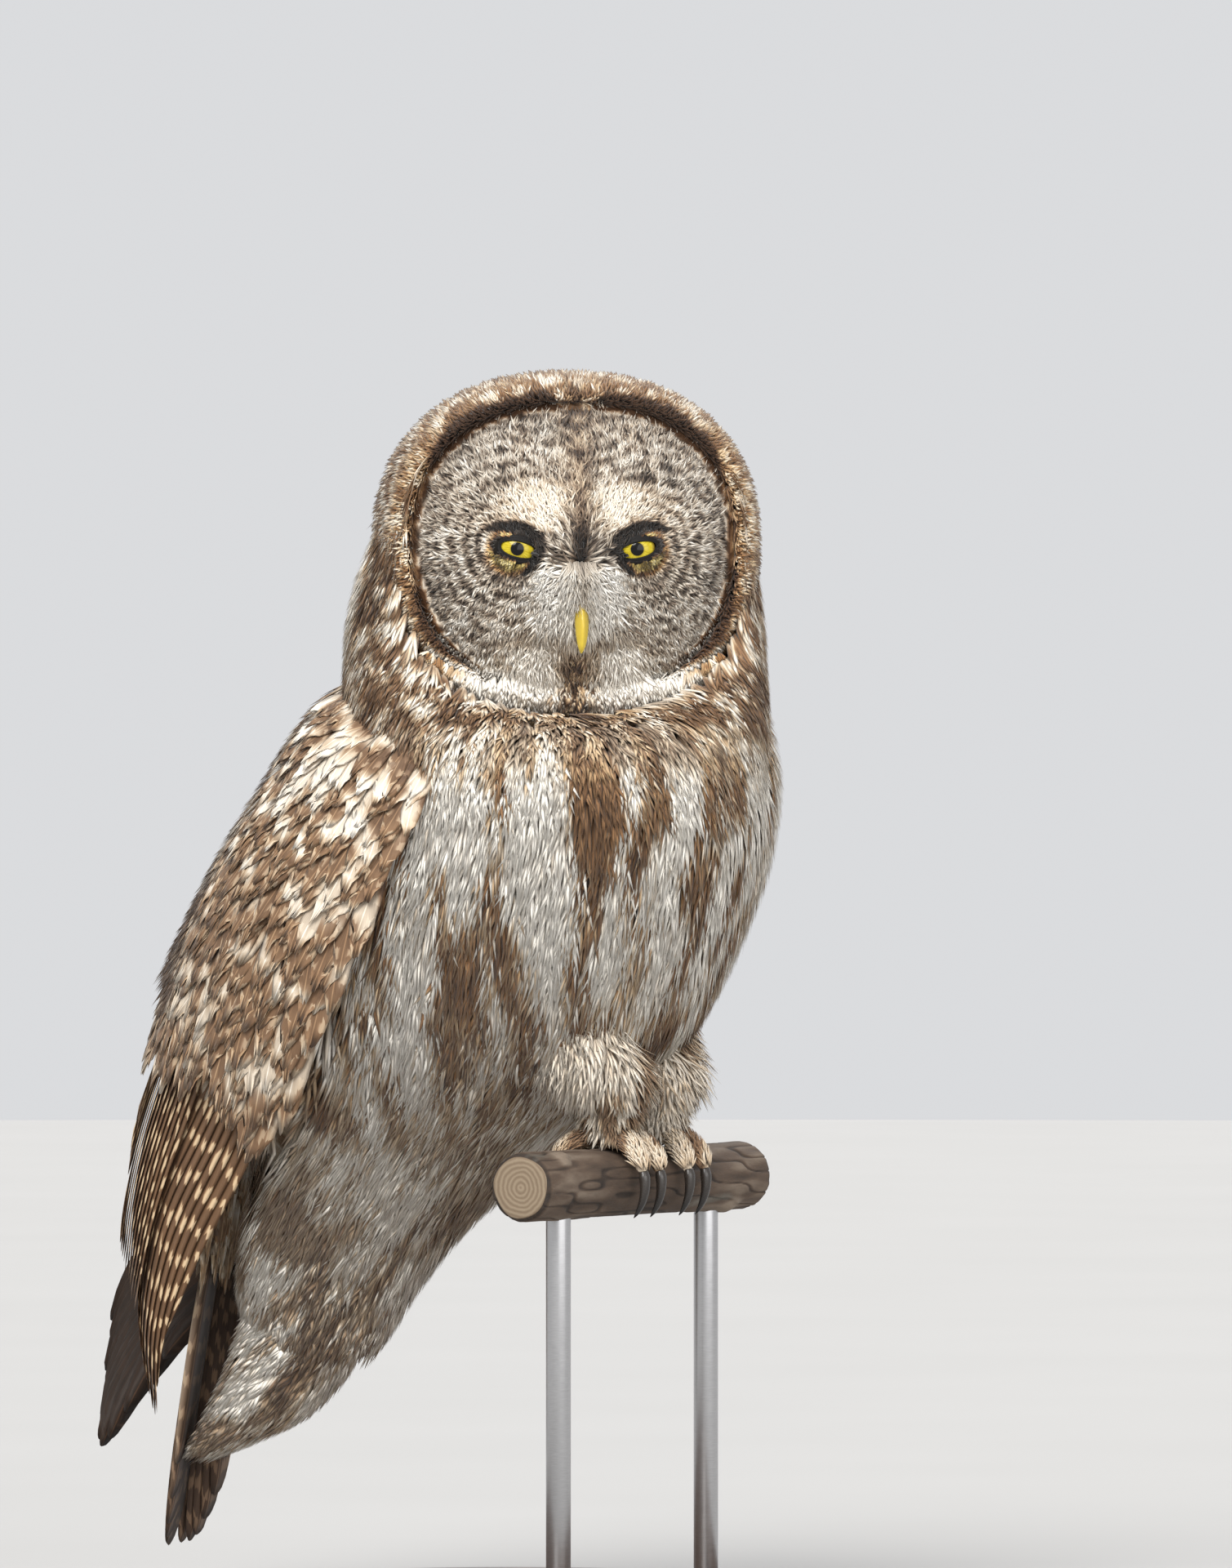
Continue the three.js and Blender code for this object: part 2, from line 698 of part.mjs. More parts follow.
function tailFeathers() {
  const pairs = Array.from({ length: TAIL_PAIRS }, (_, i) => [-1, 1].map((side) => {
    const rootAcross = side * (1.5 + 2.2 * i);
    const tipAcross = side * (7 + 3.4 * i);
    const onTop = i === 0 && side > 0 ? TAIL_LAYER : 0;
    return vane(tailPoint, {
      from: 0.2,
      to: 1 - 0.006 * i ** 2 - 0.003 * (1 + draw()),
      breaks: TAIL_BREAKS,
      across: (share) => mix(rootAcross, tipAcross, smooth(share, 0.15, 0.95)),
      lift: () => onTop - TAIL_LAYER * i,
      incline: 0,
      half: 10.2,
      round: 0.03,
    });
  })).flat();
  const coverts = 5;
  const row = Array.from({ length: coverts }, (_, j) => {
    const spot = j - (coverts - 1) / 2;
    return vane(tailPoint, {
      from: 0.22,
      to: 0.56 - 0.015 * spot ** 2,
      breaks: TAIL_BREAKS,
      across: (share) => spot * mix(6, 8, share),
      lift: (share) => mix(4.5, 8.5, smooth(share, 0.25, 0.42)) + WING_LAYER * spot,
      incline: WING_LAYER / 7,
      half: 10,
      round: 0.03,
    });
  });
  return [...pairs, ...row];
}

// Legs and feet

const LEG_SECTIONS = [
  [306, 31, 22, 30],
  [284, 29, 14, 27.5],
  [268, 26, 6, 24],
  [256, 24, 2, 18.5],
  [LEG_BOTTOM, FOOT_SPREAD, 0, 14.5],
];

function legGeometry(side) {
  const rings = LEG_SECTIONS.map(([height, x, y, radius]) => Array.from({ length: 18 }, (_, j) => {
    const angle = (2 * Math.PI * j) / 18;
    return point(side * x + radius * Math.cos(angle), y + radius * 1.1 * Math.sin(angle), height);
  }));
  return ringSolid(rings);
}

// Two toes forward and two back, each with the sideways splay of its end.
const TOES = [
  { name: 'front_inner', way: -1, splay: -9 },
  { name: 'front_middle', way: -1, splay: 7 },
  { name: 'back_outer', way: 1, splay: 12 },
  { name: 'back_inner', way: 1, splay: -8 },
];
const TOE_SWEEP = 82;
const GRIP_RADIUS = PERCH_RADIUS + TOUCH_GAP + 0.4 + TOE_RADIUS;
const TOE_RADII = [6.2, 6.4, 6.2, 6, 4.8];
const CLAW_RADII = [CLAW_RADIUS, 2.9, 2.4, 1.7, 0.5];

// A point of the arc that a toe or claw follows round the branch, by degrees from the top.
function gripPoint(side, toe, degrees, radius) {
  const angle = radians(degrees);
  const x = side * (FOOT_SPREAD + toe.splay * smooth(degrees, -10, 60));
  return point(x, toe.way * radius * Math.sin(angle), PERCH_HEIGHT + radius * Math.cos(angle));
}

function toeGeometry(side, toe) {
  const steps = [-4, 12, 30, 48, 66, TOE_SWEEP];
  return taperedTube(steps.map((degrees) => gripPoint(side, toe, degrees, GRIP_RADIUS)), TOE_RADII, 7);
}

function clawGeometry(side, toe) {
  const start = TOE_SWEEP + THREE.MathUtils.radToDeg(TOUCH_GAP / GRIP_RADIUS);
  const steps = [0, 12, 25, 38, 50];
  const path = steps.map((degrees) => (
    gripPoint(side, toe, start + degrees, GRIP_RADIUS + degrees * 0.01)));
  return taperedTube(path, CLAW_RADII, 6);
}

function footGeometry(side) {
  const pad = new THREE.SphereGeometry(1, 10, 6);
  pad.rotateX(Math.PI / 2);
  pad.scale(12.5, 11, 7.6);
  pad.translate(side * FOOT_SPREAD, 0, PERCH_TOP + 7.2);
  const ankle = ringSolid([PERCH_TOP + 4, LEG_BOTTOM - TOUCH_GAP].map((height) => (
    Array.from({ length: 10 }, (_, j) => {
      const angle = (2 * Math.PI * j) / 10;
      const x = side * FOOT_SPREAD + ANKLE_RADIUS * Math.cos(angle);
      return point(x, ANKLE_RADIUS * Math.sin(angle), height);
    }))));
  return { pad, ankle };
}

// Branch, lying along X, a little uneven

function branchGeometry() {
  const steps = 10;
  const sides = 14;
  const rings = Array.from({ length: steps + 1 }, (_, i) => {
    const x = -PERCH_LENGTH / 2 + (PERCH_LENGTH * i) / steps;
    const away = smooth(Math.abs(x), 52, 90);
    const swell = 1 + away * (0.08 * Math.sin(x * 0.11) - 0.04);
    return Array.from({ length: sides }, (__, j) => {
      const angle = (2 * Math.PI * j) / sides;
      const radius = PERCH_RADIUS * swell;
      return point(x, radius * Math.cos(angle), PERCH_HEIGHT + radius * Math.sin(angle));
    });
  });
  return ringSolid(rings);
}

// Stand

function baseGeometry() {
  const profile = [
    new THREE.Vector2(0, 0),
    new THREE.Vector2(BASE_RADIUS, 0),
    new THREE.Vector2(BASE_RADIUS, BASE_THICKNESS - BASE_EDGE),
    new THREE.Vector2(BASE_RADIUS - BASE_EDGE, BASE_THICKNESS),
    new THREE.Vector2(0, BASE_THICKNESS),
  ];
  const geometry = new THREE.LatheGeometry(profile, 40);
  geometry.rotateX(Math.PI / 2);
  return geometry;
}

function rodGeometry(side) {
  const bottom = BASE_THICKNESS + TOUCH_GAP;
  const height = PERCH_HEIGHT - bottom;
  const geometry = new THREE.CylinderGeometry(ROD_RADIUS, ROD_RADIUS, height, 16);
  geometry.rotateX(Math.PI / 2);
  geometry.translate((side * ROD_SPACING) / 2, 0, bottom + height / 2);
  return geometry;
}

// Colours

const colours = {
  plumage: [0x8f8579, 0.9],
  face: [0x9a948c, 0.92],
  wing: [0x6f5a46, 0.85],
  fluff: [0xb5a898, 0.95],
  eye: [0xd9c41f, 0.12],
  bill: [0xd8b23a, 0.4],
  claw: [0x1d1a18, 0.35],
  bark: [0x5d4a38, 0.9],
  wood: [0x3c2a1d, 0.45],
  steel: [0x8c8c8c, 0.35, 1],
};

function material([color, roughness, metalness = 0]) {
  return new THREE.MeshStandardMaterial({ color, roughness, metalness });
}

// Assembly

const model = new THREE.Group();
const owl = new THREE.Group();
owl.position.y = PERCH_Y;
model.add(owl);

function place(parent, name, geometry, finish) {
  const mesh = new THREE.Mesh(geometry, material(finish));
  mesh.name = name;
  parent.add(mesh);
}

const sides = [['right', -1], ['left', 1]];

const trunk = trunkGeometry();
const neck = neckGeometry();
const skull = headGeometry();
const branch = branchGeometry();
const upperBill = billGeometry(UPPER_BILL, UPPER_BILL_RADII);
const lowerBill = billGeometry(LOWER_BILL, LOWER_BILL_RADII);
const bodyCut = inflated(wholeBodyGeometry());
const headCut = inflated(skull);
const branchCut = inflated(branch);

let head = toBody(skull);
sides.forEach(([, side]) => {
  const lids = bodyOf(ballGeometry(eyeCentre(side), EYE_RADIUS + TOUCH_GAP + LID_THICKNESS, 16, 10));
  head = head.add(lids);
});
sides.forEach(([, side]) => {
  head = head.subtract(bodyOf(ballGeometry(eyeCentre(side), EYE_RADIUS + TOUCH_GAP, 16, 8)));
  head = head.subtract(toBody(lidOpening(side)));
});
head = head.subtract(inflated(upperBill)).subtract(inflated(lowerBill));
place(owl, 'head', toGeometry(head), colours.face);

place(owl, 'neck', toGeometry(toBody(neck).subtract(headCut)), colours.plumage);
place(owl, 'torso', toGeometry(toBody(trunk).subtract(headCut)), colours.plumage);

sides.forEach(([word, side]) => {
  place(owl, `eye_${word}`, toGeometry(bodyOf(ballGeometry(eyeCentre(side), EYE_RADIUS, 16, 8))),
    colours.eye);
});

const nostril = (side) => {
  const geometry = new THREE.SphereGeometry(NOSTRIL_RADIUS, 8, 6);
  const centre = headPoint(side * 5.2, 62, -34);
  geometry.translate(centre.x, centre.y, centre.z);
  return bodyOf(geometry);
};
const billWithNostrils = toBody(upperBill).subtract(nostril(-1)).subtract(nostril(1));
place(owl, 'bill_upper', toGeometry(billWithNostrils), colours.bill);
place(owl, 'bill_lower', toGeometry(toBody(lowerBill).subtract(inflated(upperBill))), colours.bill);

place(owl, 'tail', toGeometry(fuse([tailCore(), ...tailFeathers()]).subtract(bodyCut)), colours.wing);

sides.forEach(([word, side]) => {
  let wing = fuse(wingPieces(wingFrames(side > 0)));
  if (side > 0) wing = wing.mirror([1, 0, 0]);
  wing = wing.subtract(bodyCut).subtract(headCut);
  place(owl, `wing_${word}`, toGeometry(wing), colours.wing);
});

sides.forEach(([word, side]) => {
  place(owl, `leg_${word}`, toGeometry(toBody(legGeometry(side)).subtract(bodyCut)), colours.fluff);
  const { pad, ankle } = footGeometry(side);
  let foot = bodyOf(pad).add(toBody(ankle));
  TOES.forEach((toe) => {
    foot = foot.add(toBody(toeGeometry(side, toe)));
  });
  TOES.forEach((toe) => {
    const claw = clawGeometry(side, toe);
    foot = foot.subtract(inflated(claw));
    place(owl, `claw_${word}_${toe.name}`, claw, colours.claw);
  });
  place(owl, `foot_${word}`, toGeometry(foot.subtract(branchCut)), colours.fluff);
});

place(owl, 'perch_branch', branch, colours.bark);
place(model, 'stand_base', toGeometry(bodyOf(baseGeometry())), colours.wood);
sides.forEach(([word, side]) => {
  place(owl, `stand_rod_${word}`, toGeometry(bodyOf(rodGeometry(side)).subtract(branchCut)), colours.steel);
});

export default model;
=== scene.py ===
# %% [markdown]
# # A life-size great grey owl in Blender
#
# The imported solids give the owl's body, wings, tail, bill and stand in one fixed frame. This lesson
# dresses them: one skin takes the place of the flesh, and thousands of small closed feathers are laid
# over it in tracts, as on the bird. Shapes are numpy arrays, patterns are node materials.

import math

import bpy
import numpy as np
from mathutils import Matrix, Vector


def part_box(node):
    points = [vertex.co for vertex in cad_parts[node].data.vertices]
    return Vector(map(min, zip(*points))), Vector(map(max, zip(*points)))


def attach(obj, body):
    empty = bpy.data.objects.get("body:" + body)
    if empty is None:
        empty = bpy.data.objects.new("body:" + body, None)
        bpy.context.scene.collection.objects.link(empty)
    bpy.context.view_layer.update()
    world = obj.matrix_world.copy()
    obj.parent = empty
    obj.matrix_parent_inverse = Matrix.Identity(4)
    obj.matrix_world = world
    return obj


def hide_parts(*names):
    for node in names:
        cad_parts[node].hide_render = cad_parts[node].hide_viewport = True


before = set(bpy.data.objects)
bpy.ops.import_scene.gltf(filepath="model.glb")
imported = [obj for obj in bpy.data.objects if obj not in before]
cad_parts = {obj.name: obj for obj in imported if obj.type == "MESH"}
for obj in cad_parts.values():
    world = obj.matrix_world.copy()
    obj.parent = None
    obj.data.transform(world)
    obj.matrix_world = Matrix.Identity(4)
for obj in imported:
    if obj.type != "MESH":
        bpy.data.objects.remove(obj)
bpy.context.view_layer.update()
print("nodes:", len(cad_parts))

# %% [markdown]
# ## Units and places
#
# The owl is worked out in millimetres from the branch's axis, because feather sizes are easiest to
# judge that way. One function turns such points into the frame's metres. The perch's place and size
# are read from its node, so the bird stays on what carries it.

# %% Units, perch and head frame
MM = 0.001
perch_low, perch_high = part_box("perch_branch")
PERCH_Y = (perch_low.y + perch_high.y) / 2 / MM
PERCH_Z = (perch_low.z + perch_high.z) / 2 / MM
PERCH_RADIUS = 17.0
PERCH_LENGTH = (perch_high.x - perch_low.x) / MM

HEAD_TURN = math.radians(-53.5)
HEAD_CENTRE = np.array([-6.0, 33.5, 528.0])
HEAD_RIGHT = np.array([math.cos(HEAD_TURN), math.sin(HEAD_TURN), 0.0])
HEAD_FORWARD = np.array([math.sin(HEAD_TURN), -math.cos(HEAD_TURN), 0.0])
UP = np.array([0.0, 0.0, 1.0])


def to_metres(points):
    """Moves owl points by the branch's place and turns millimetres into metres."""
    return (points + np.array([0.0, PERCH_Y, 0.0])) * MM


def from_metres(points):
    """The way back from the frame's metres to owl millimetres."""
    return points / MM - np.array([0.0, PERCH_Y, 0.0])


def head_point(x, forward, z):
    """A point given by its distances to the viewer's right, out of the face and up."""
    x, forward, z = np.broadcast_arrays(x, forward, z)
    return (HEAD_CENTRE + x[..., None] * HEAD_RIGHT + forward[..., None] * HEAD_FORWARD
            + z[..., None] * UP)


def head_coords(points):
    """Distances right, forward and up of points from the head's centre."""
    away = points - HEAD_CENTRE
    return away @ HEAD_RIGHT, away @ HEAD_FORWARD, away[..., 2]


print("perch axis at y", round(PERCH_Y, 1), "z", round(PERCH_Z, 1), "radius", round(PERCH_RADIUS, 1))

# %% [markdown]
# ## Numbers that vary smoothly
#
# A body is easiest to describe by a few sections. `read_table` runs a smooth curve through their
# rows. `noise` gives soft random blotches: random numbers sit on a cubic lattice and are blended
# between its corners. Both work on whole arrays.

# %% Tables and noise


def smooth(value, low, high):
    """Rises from 0 at low to 1 at high with level ends."""
    t = np.clip((value - low) / (high - low), 0, 1)
    return t * t * (3 - 2 * t)


def bell(value, width):
    """A bump of height 1 at 0 that fades over the width."""
    return np.exp(-((value / width) ** 2))


def mix(a, b, share):
    """Goes from a to b as share goes from 0 to 1."""
    return a + (b - a) * share


def unit(vectors):
    """The same directions with length 1."""
    return vectors / np.maximum(np.linalg.norm(vectors, axis=-1, keepdims=True), 1e-9)


def read_table(rows, key):
    """Reads rows that start with their key, on a Catmull-Rom curve through them."""
    rows = np.asarray(rows, float)
    if rows[0, 0] > rows[-1, 0]:
        rows = rows[::-1]
    keys, values = rows[:, 0], rows[:, 1:]
    key = np.clip(key, keys[0], keys[-1])
    i = np.clip(np.searchsorted(keys, key, side="right") - 1, 0, len(keys) - 2)
    t = ((key - keys[i]) / (keys[i + 1] - keys[i]))[..., None]
    slope_in = (values[i + 1] - values[np.maximum(i - 1, 0)]) / 2
    slope_out = (values[np.minimum(i + 2, len(keys) - 1)] - values[i]) / 2
    return ((2 * t**3 - 3 * t**2 + 1) * values[i] + (t**3 - 2 * t**2 + t) * slope_in
            + (-2 * t**3 + 3 * t**2) * values[i + 1] + (t**3 - t**2) * slope_out)


def lattice(cells, seed):
    """A random number from 0 to 1 for each whole-numbered cell."""
    x, y, z = (cells[..., k].astype(np.int64) for k in range(3))
    h = (x * 73856093) ^ (y * 19349663) ^ (z * 83492791) ^ (seed * 2654435761)
    h = (h ^ (h >> 13)) * 1274126177
    return ((h ^ (h >> 16)) & 0xFFFF) / 65535.0


def noise(points, size, seed=0):
    """Smooth blotches from 0 to 1, about as wide as size, which may differ along x, y and z."""
    p = points / np.asarray(size, float)
    cell = np.floor(p)
    t = p - cell
    t = t * t * (3 - 2 * t)
    total = 0.0
    for corner in np.ndindex(2, 2, 2):
        weight = np.prod(np.where(np.array(corner) == 1, t, 1 - t), axis=-1)
        total = total + weight * lattice(cell + np.array(corner), seed)
    return total


print("noise in the middle of the head:", round(float(noise(HEAD_CENTRE, 10)), 3))

# %% [markdown]
# ## The envelope of the plumage
#
# The solids give the outline out to the feather tips. The same sections are worked out again here,
# finer: level sections for trunk and neck, an oval disc with a dished relief for the face, and rings
# that run from the disc's edge round to the back of the head.

# %% Trunk and neck
TRUNK_SECTIONS = [
    [480, -62, 152, 108], [446, -64, 155, 110], [418, -68, 158, 112], [390, -67, 166, 113],
    [360, -60, 178, 112], [330, -48, 194, 108], [305, -36, 215, 102], [282, -22, 240, 95],
    [262, 0, 252, 86], [244, 26, 240, 76], [226, 56, 216, 66], [208, 78, 214, 60],
    [186, 104, 219, 52], [160, 126, 222, 43], [136, 142, 217, 33], [120, 156, 208, 22],
    [100, 172, 204, 15], [70, 184, 206, 10],
]
NECK_SECTIONS = [
    [418, 105, 122, 98, 128], [434, 103, 117, 70, 116], [446, 101, 114, 42, 108],
    [460, 99, 111, 28, 102], [474, 98, 110, 22, 98], [498, 96, 109, 18, 94],
    [524, 89, 106, 15, 90], [544, 74, 98, 12, 84], [560, 50, 80, 9, 70],
]
BLEND_LOW, BLEND_HIGH = 410.0, 454.0


def trunk_point(height, angle):
    """An ellipse at each height: half width along X, front to back along Y."""
    front, back, half = np.moveaxis(read_table(TRUNK_SECTIONS, height), -1, 0)
    depth = (back - front) / 2
    return np.stack([half * np.cos(angle), (front + back) / 2 + depth * np.sin(angle), height], -1)


def neck_point(height, angle):
    """Four quarter ellipses in the head's frame, each with its own reach."""
    right, left, forward, back = np.moveaxis(read_table(NECK_SECTIONS, height), -1, 0)
    local = angle - HEAD_TURN
    c, s = np.cos(local), np.sin(local)
    x = c * np.where(c > 0, right, left)
    y = s * np.where(s > 0, back, forward)
    points = head_point(x, -y, 0.0)
    points[..., 2] = height
    return points


def body_point(height, angle):
    """The trunk's section, turning into the neck's between two heights."""
    height, angle = np.broadcast_arrays(np.asarray(height, float), np.asarray(angle, float))
    share = smooth(height, BLEND_LOW, BLEND_HIGH)[..., None]
    return mix(trunk_point(height, angle), neck_point(height, angle), share)


# %% Head
HEAD_HALF_WIDTH, HEAD_TOP, HEAD_BOTTOM, HEAD_BACK = 95.0, 84.0, 86.0, 76.0
DISC_HALF_WIDTH, DISC_TOP, DISC_BOTTOM = 76.0, 64.0, 72.0
FACE_FRONT = 60.0
EYE_X, EYE_Z, EYE_DEPTH, EYE_RADIUS = 29.2, -4.0, 40.0, 12.5


def rounded_radius(angle, side, top, bottom, power):
    """Radius of an oval with full corners, whose top and bottom differ."""
    c = np.abs(np.cos(angle)) / side
    s = np.abs(np.sin(angle)) / np.where(np.sin(angle) > 0, top, bottom)
    return 1 / (c**power + s**power) ** (1 / power)


def disc_edge(angle):
    """Radius of the facial disc in each direction."""
    return rounded_radius(angle, DISC_HALF_WIDTH, DISC_TOP, DISC_BOTTOM, 2.3)


def head_outline(angle):
    """Radius of the whole head in each direction, seen from the front."""
    return rounded_radius(angle, HEAD_HALF_WIDTH, HEAD_TOP, HEAD_BOTTOM, 2.25)


def rim_depth(angle):
    """How far forward the disc's edge lies: least at the sides."""
    return 39 - 13 * np.cos(angle) ** 2


def face_depth(x, z):
    """A shallow dome that falls to the rim, with a ridge, dishes round the eyes, brows and lores."""
    angle = np.arctan2(z, x)
    part = np.hypot(x, z) / disc_edge(angle)
    side = np.abs(x)
    relief = (6 * bell(x, 9) * bell(z + 4, 62) - 9 * bell(side - 33, 30) * bell(z + 8, 34)
              + 4 * bell(side - 20, 15) * bell(z - 14, 11) + 4 * bell(side - 12, 10) * bell(z + 26, 16))
    rim = rim_depth(angle)
    dome = rim + (FACE_FRONT - rim) * (1 - np.minimum(part, 1.15) ** 2.4)
    depth = dome + relief * np.clip(1 - part**6, 0, 1)
    # Round the eye the coat climbs over the ball.
    off_centre = (side - EYE_X) ** 2 + (z - EYE_Z) ** 2
    cover = EYE_DEPTH + np.sqrt(np.maximum((EYE_RADIUS + 1.9) ** 2 - off_centre, 0))
    lift = np.maximum(cover - depth, 0)
    return depth + lift * (1 - smooth(np.sqrt(off_centre), 10.5, 14.0))


# Each row of the back of the head: way from the disc's edge, share of the way to the outline, depth.
RUFF_ROWS = [[0.0, 0.0, 0.0], [0.12, 0.3, 5.0], [0.24, 0.6, 1.0], [0.34, 0.84, -8.0],
             [0.42, 0.96, -20.0]]
RUFF_END = 0.5


def crown_point(way, angle):
    """Rings from the disc's edge (way 0) over the ruff (way 0.5) to the back pole (way 1)."""
    way, angle = np.broadcast_arrays(np.asarray(way, float), np.asarray(angle, float))
    outline = head_outline(angle)
    part, rise = np.moveaxis(read_table(RUFF_ROWS, np.minimum(way, 0.42)), -1, 0)
    ruff_radius = mix(disc_edge(angle), outline, part)
    ruff_depth = rim_depth(angle) + rise
    closing = smooth(way, 0.42, RUFF_END)
    sweep = np.clip((way - RUFF_END) / (1 - RUFF_END), 0, 1) * math.pi / 2 * 0.98
    back_radius = outline * np.cos(sweep) ** 0.85
    back_depth = -4 - HEAD_BACK * np.sin(sweep)
    radius = mix(ruff_radius, back_radius, closing)
    depth = mix(ruff_depth, back_depth, closing)
    return head_point(radius * np.cos(angle), depth, radius * np.sin(angle))


print("disc", 2 * DISC_HALF_WIDTH, "x", DISC_TOP + DISC_BOTTOM, "mm, eyes", 2 * EYE_X, "mm apart")

# %% [markdown]
# ## Wings and tail as bent sheets
#
# A folded wing is a long curved sheet. Nine stations give its leading edge, its trailing edge and how
# far it bulges. Between the edges the sheet is an arc. The left wing mirrors the right one, and its
# tip is carried on over the tail, as in the photograph.

# %% Wing and tail sheets
WING_STATIONS = [
    [0.0, -92, 26, 440, -44, 132, 446, 16], [0.125, -103, 43, 416, -41, 155, 418, 23],
    [0.25, -107, 62, 378, -35, 181, 383, 27], [0.375, -104, 89, 336, -27, 216, 336, 28],
    [0.5, -90, 130, 290, -18, 249, 286, 23], [0.625, -69, 174, 234, -12, 273, 232, 16],
    [0.75, -53, 211, 180, -10, 280, 185, 11], [0.875, -43, 238, 135, -8, 277, 140, 8],
    [1.0, -30, 254, 96, -3, 271, 100, 4],
]
LEFT_TIP_SWEEP = [[0.0, 0, 0, 0], [0.5, 0, 0, 0], [0.7, 2, 12, -4], [0.85, 6, 40, -10], [1.0, 12, 50, -18]]
TAIL_LINE = [[0.0, 214, 300, 20], [0.2, 222, 258, 24], [0.4, 233, 204, 27],
             [0.6, 243, 148, 30], [0.8, 252, 90, 32], [1.0, 262, 32, 33]]
TAIL_HALF_WIDTH = 33.0


def wing_grid(rows, columns, reach, left):
    """The wing sheet's points and half widths: an arc across each station, side from -reach to reach."""
    share = np.linspace(0, 1, rows)
    leading, trailing, bulge = np.split(read_table(WING_STATIONS, share), [3, 6], axis=1)
    if left:
        shift = read_table(LEFT_TIP_SWEEP, share)
        leading, trailing = leading + shift, trailing + shift
    middle = (leading + trailing) / 2
    along = unit(np.gradient(middle, axis=0))
    across = trailing - leading
    half = np.linalg.norm(across, axis=1, keepdims=True) / 2
    across = unit(across - np.sum(across * along, axis=1, keepdims=True) * along)
    out = np.cross(along, across)
    out *= -np.sign(out[:, :1])
    radius = (half**2 + bulge**2) / (2 * bulge)
    angle = np.linspace(-reach, reach, columns)[None, :, None] * half[:, None] / radius[:, None]
    grid = (middle[:, None] + across[:, None] * radius[:, None] * np.sin(angle)
            + out[:, None] * (radius[:, None] * (np.cos(angle) - 1) + bulge[:, None]))
    return grid * np.array([-1.0 if left else 1.0, 1.0, 1.0]), half[:, 0]


def tail_grid(rows, columns, reach):
    """The tail sheet: a line of middle points with a slight arch across it."""
    y, z, half = read_table(TAIL_LINE, np.linspace(0, 1, rows)).T
    x = np.linspace(-reach, reach, columns)[None, :] * half[:, None]
    arch = 3 * (x / TAIL_HALF_WIDTH) ** 2
    return np.stack([x, y[:, None] - arch, np.broadcast_to(z[:, None], x.shape)], -1), half


wing_line = wing_grid(9, 3, 1, False)[0][:, 1]
print("wing", round(float(np.linalg.norm(wing_line[0] - wing_line[-1]))), "mm from shoulder to tip")

# %% [markdown]
# ## A sheet that feathers can walk on
#
# A feather starts at a root on the sheet and is laid along it in small steps. So each sheet is kept as
# a fine grid of points with its outward normals and its two slopes. A step of so many millimetres in a
# wanted direction is then turned into a step on the grid, which makes feathers follow every curve.

# %% Sheet
rng = np.random.default_rng(7)


class Sheet:
    """A grid of points, read anywhere by straight blending; s runs along the rows, t along the columns."""

    def __init__(self, grid, out_from, wrap=False):
        self.grid, self.wrap = grid, wrap
        self.rows, self.columns = grid.shape[:2]
        ds = np.gradient(grid, axis=0) * (self.rows - 1)
        if wrap:
            padded = np.concatenate([grid[:, -2:-1], grid, grid[:, 1:2]], axis=1)
            dt = (padded[:, 2:] - padded[:, :-2]) / 2 * (self.columns - 1)
        else:
            dt = np.gradient(grid, axis=1) * (self.columns - 1)
        normal = unit(np.cross(ds, dt))
        if np.sum(normal * (grid - out_from)) < 0:
            normal = -normal
        self.fields = np.concatenate([grid, normal, ds, dt], axis=-1)

    def at(self, s, t):
        """Point, normal and the two slopes at each s and t."""
        s, t = np.broadcast_arrays(s, np.mod(t, 1.0) if self.wrap else t)
        a, b = np.clip(s, 0, 1) * (self.rows - 1), np.clip(t, 0, 1) * (self.columns - 1)
        i, j = np.minimum(a.astype(int), self.rows - 2), np.minimum(b.astype(int), self.columns - 2)
        u, v = (a - i)[..., None], (b - j)[..., None]
        f = self.fields
        value = ((1 - u) * ((1 - v) * f[i, j] + v * f[i, j + 1])
                 + u * ((1 - v) * f[i + 1, j] + v * f[i + 1, j + 1]))
        point, normal, ds, dt = np.split(value, 4, axis=-1)
        point = point + ds * (s - np.clip(s, 0, 1))[..., None]
        if not self.wrap:
            point = point + dt * (t - np.clip(t, 0, 1))[..., None]
        return point, unit(normal), ds, dt


def way_along(line):
    """The distance walked from the first point of a line to each of its points."""
    return np.concatenate([[0.0], np.cumsum(np.linalg.norm(np.diff(line, axis=0), axis=-1))])


def rows_of_roots(sheet, spacing, jitter=0.38):
    """Roots in rows like the bird's feather tracts: even along each row, every other row shifted."""
    lengths = np.linalg.norm(np.diff(sheet.grid, axis=0), axis=-1).mean(axis=1)
    along = np.concatenate([[0.0], np.cumsum(lengths)])
    count = max(int(round(along[-1] / (spacing * 0.87))), 2)
    levels = np.interp((np.arange(count) + 0.5) / count * along[-1], along, np.linspace(0, 1, sheet.rows))
    t = np.linspace(0, 1, sheet.columns)
    all_s, all_t = [], []
    for k, level in enumerate(levels):
        way = way_along(sheet.at(level, t)[0])
        number = max(int(round(way[-1] / spacing)), 1)
        places = (np.arange(number) + 0.5 * (k % 2) + 0.25) / number
        places = places + rng.uniform(-jitter, jitter, number) / number
        places = np.mod(places, 1.0) if sheet.wrap else np.clip(places, 0.0, 1.0)
        all_t.append(np.interp(places * way[-1], way, t))
        all_s.append(level + rng.uniform(-jitter, jitter, number) / count)
    return np.clip(np.concatenate(all_s), 0, 1), np.concatenate(all_t)


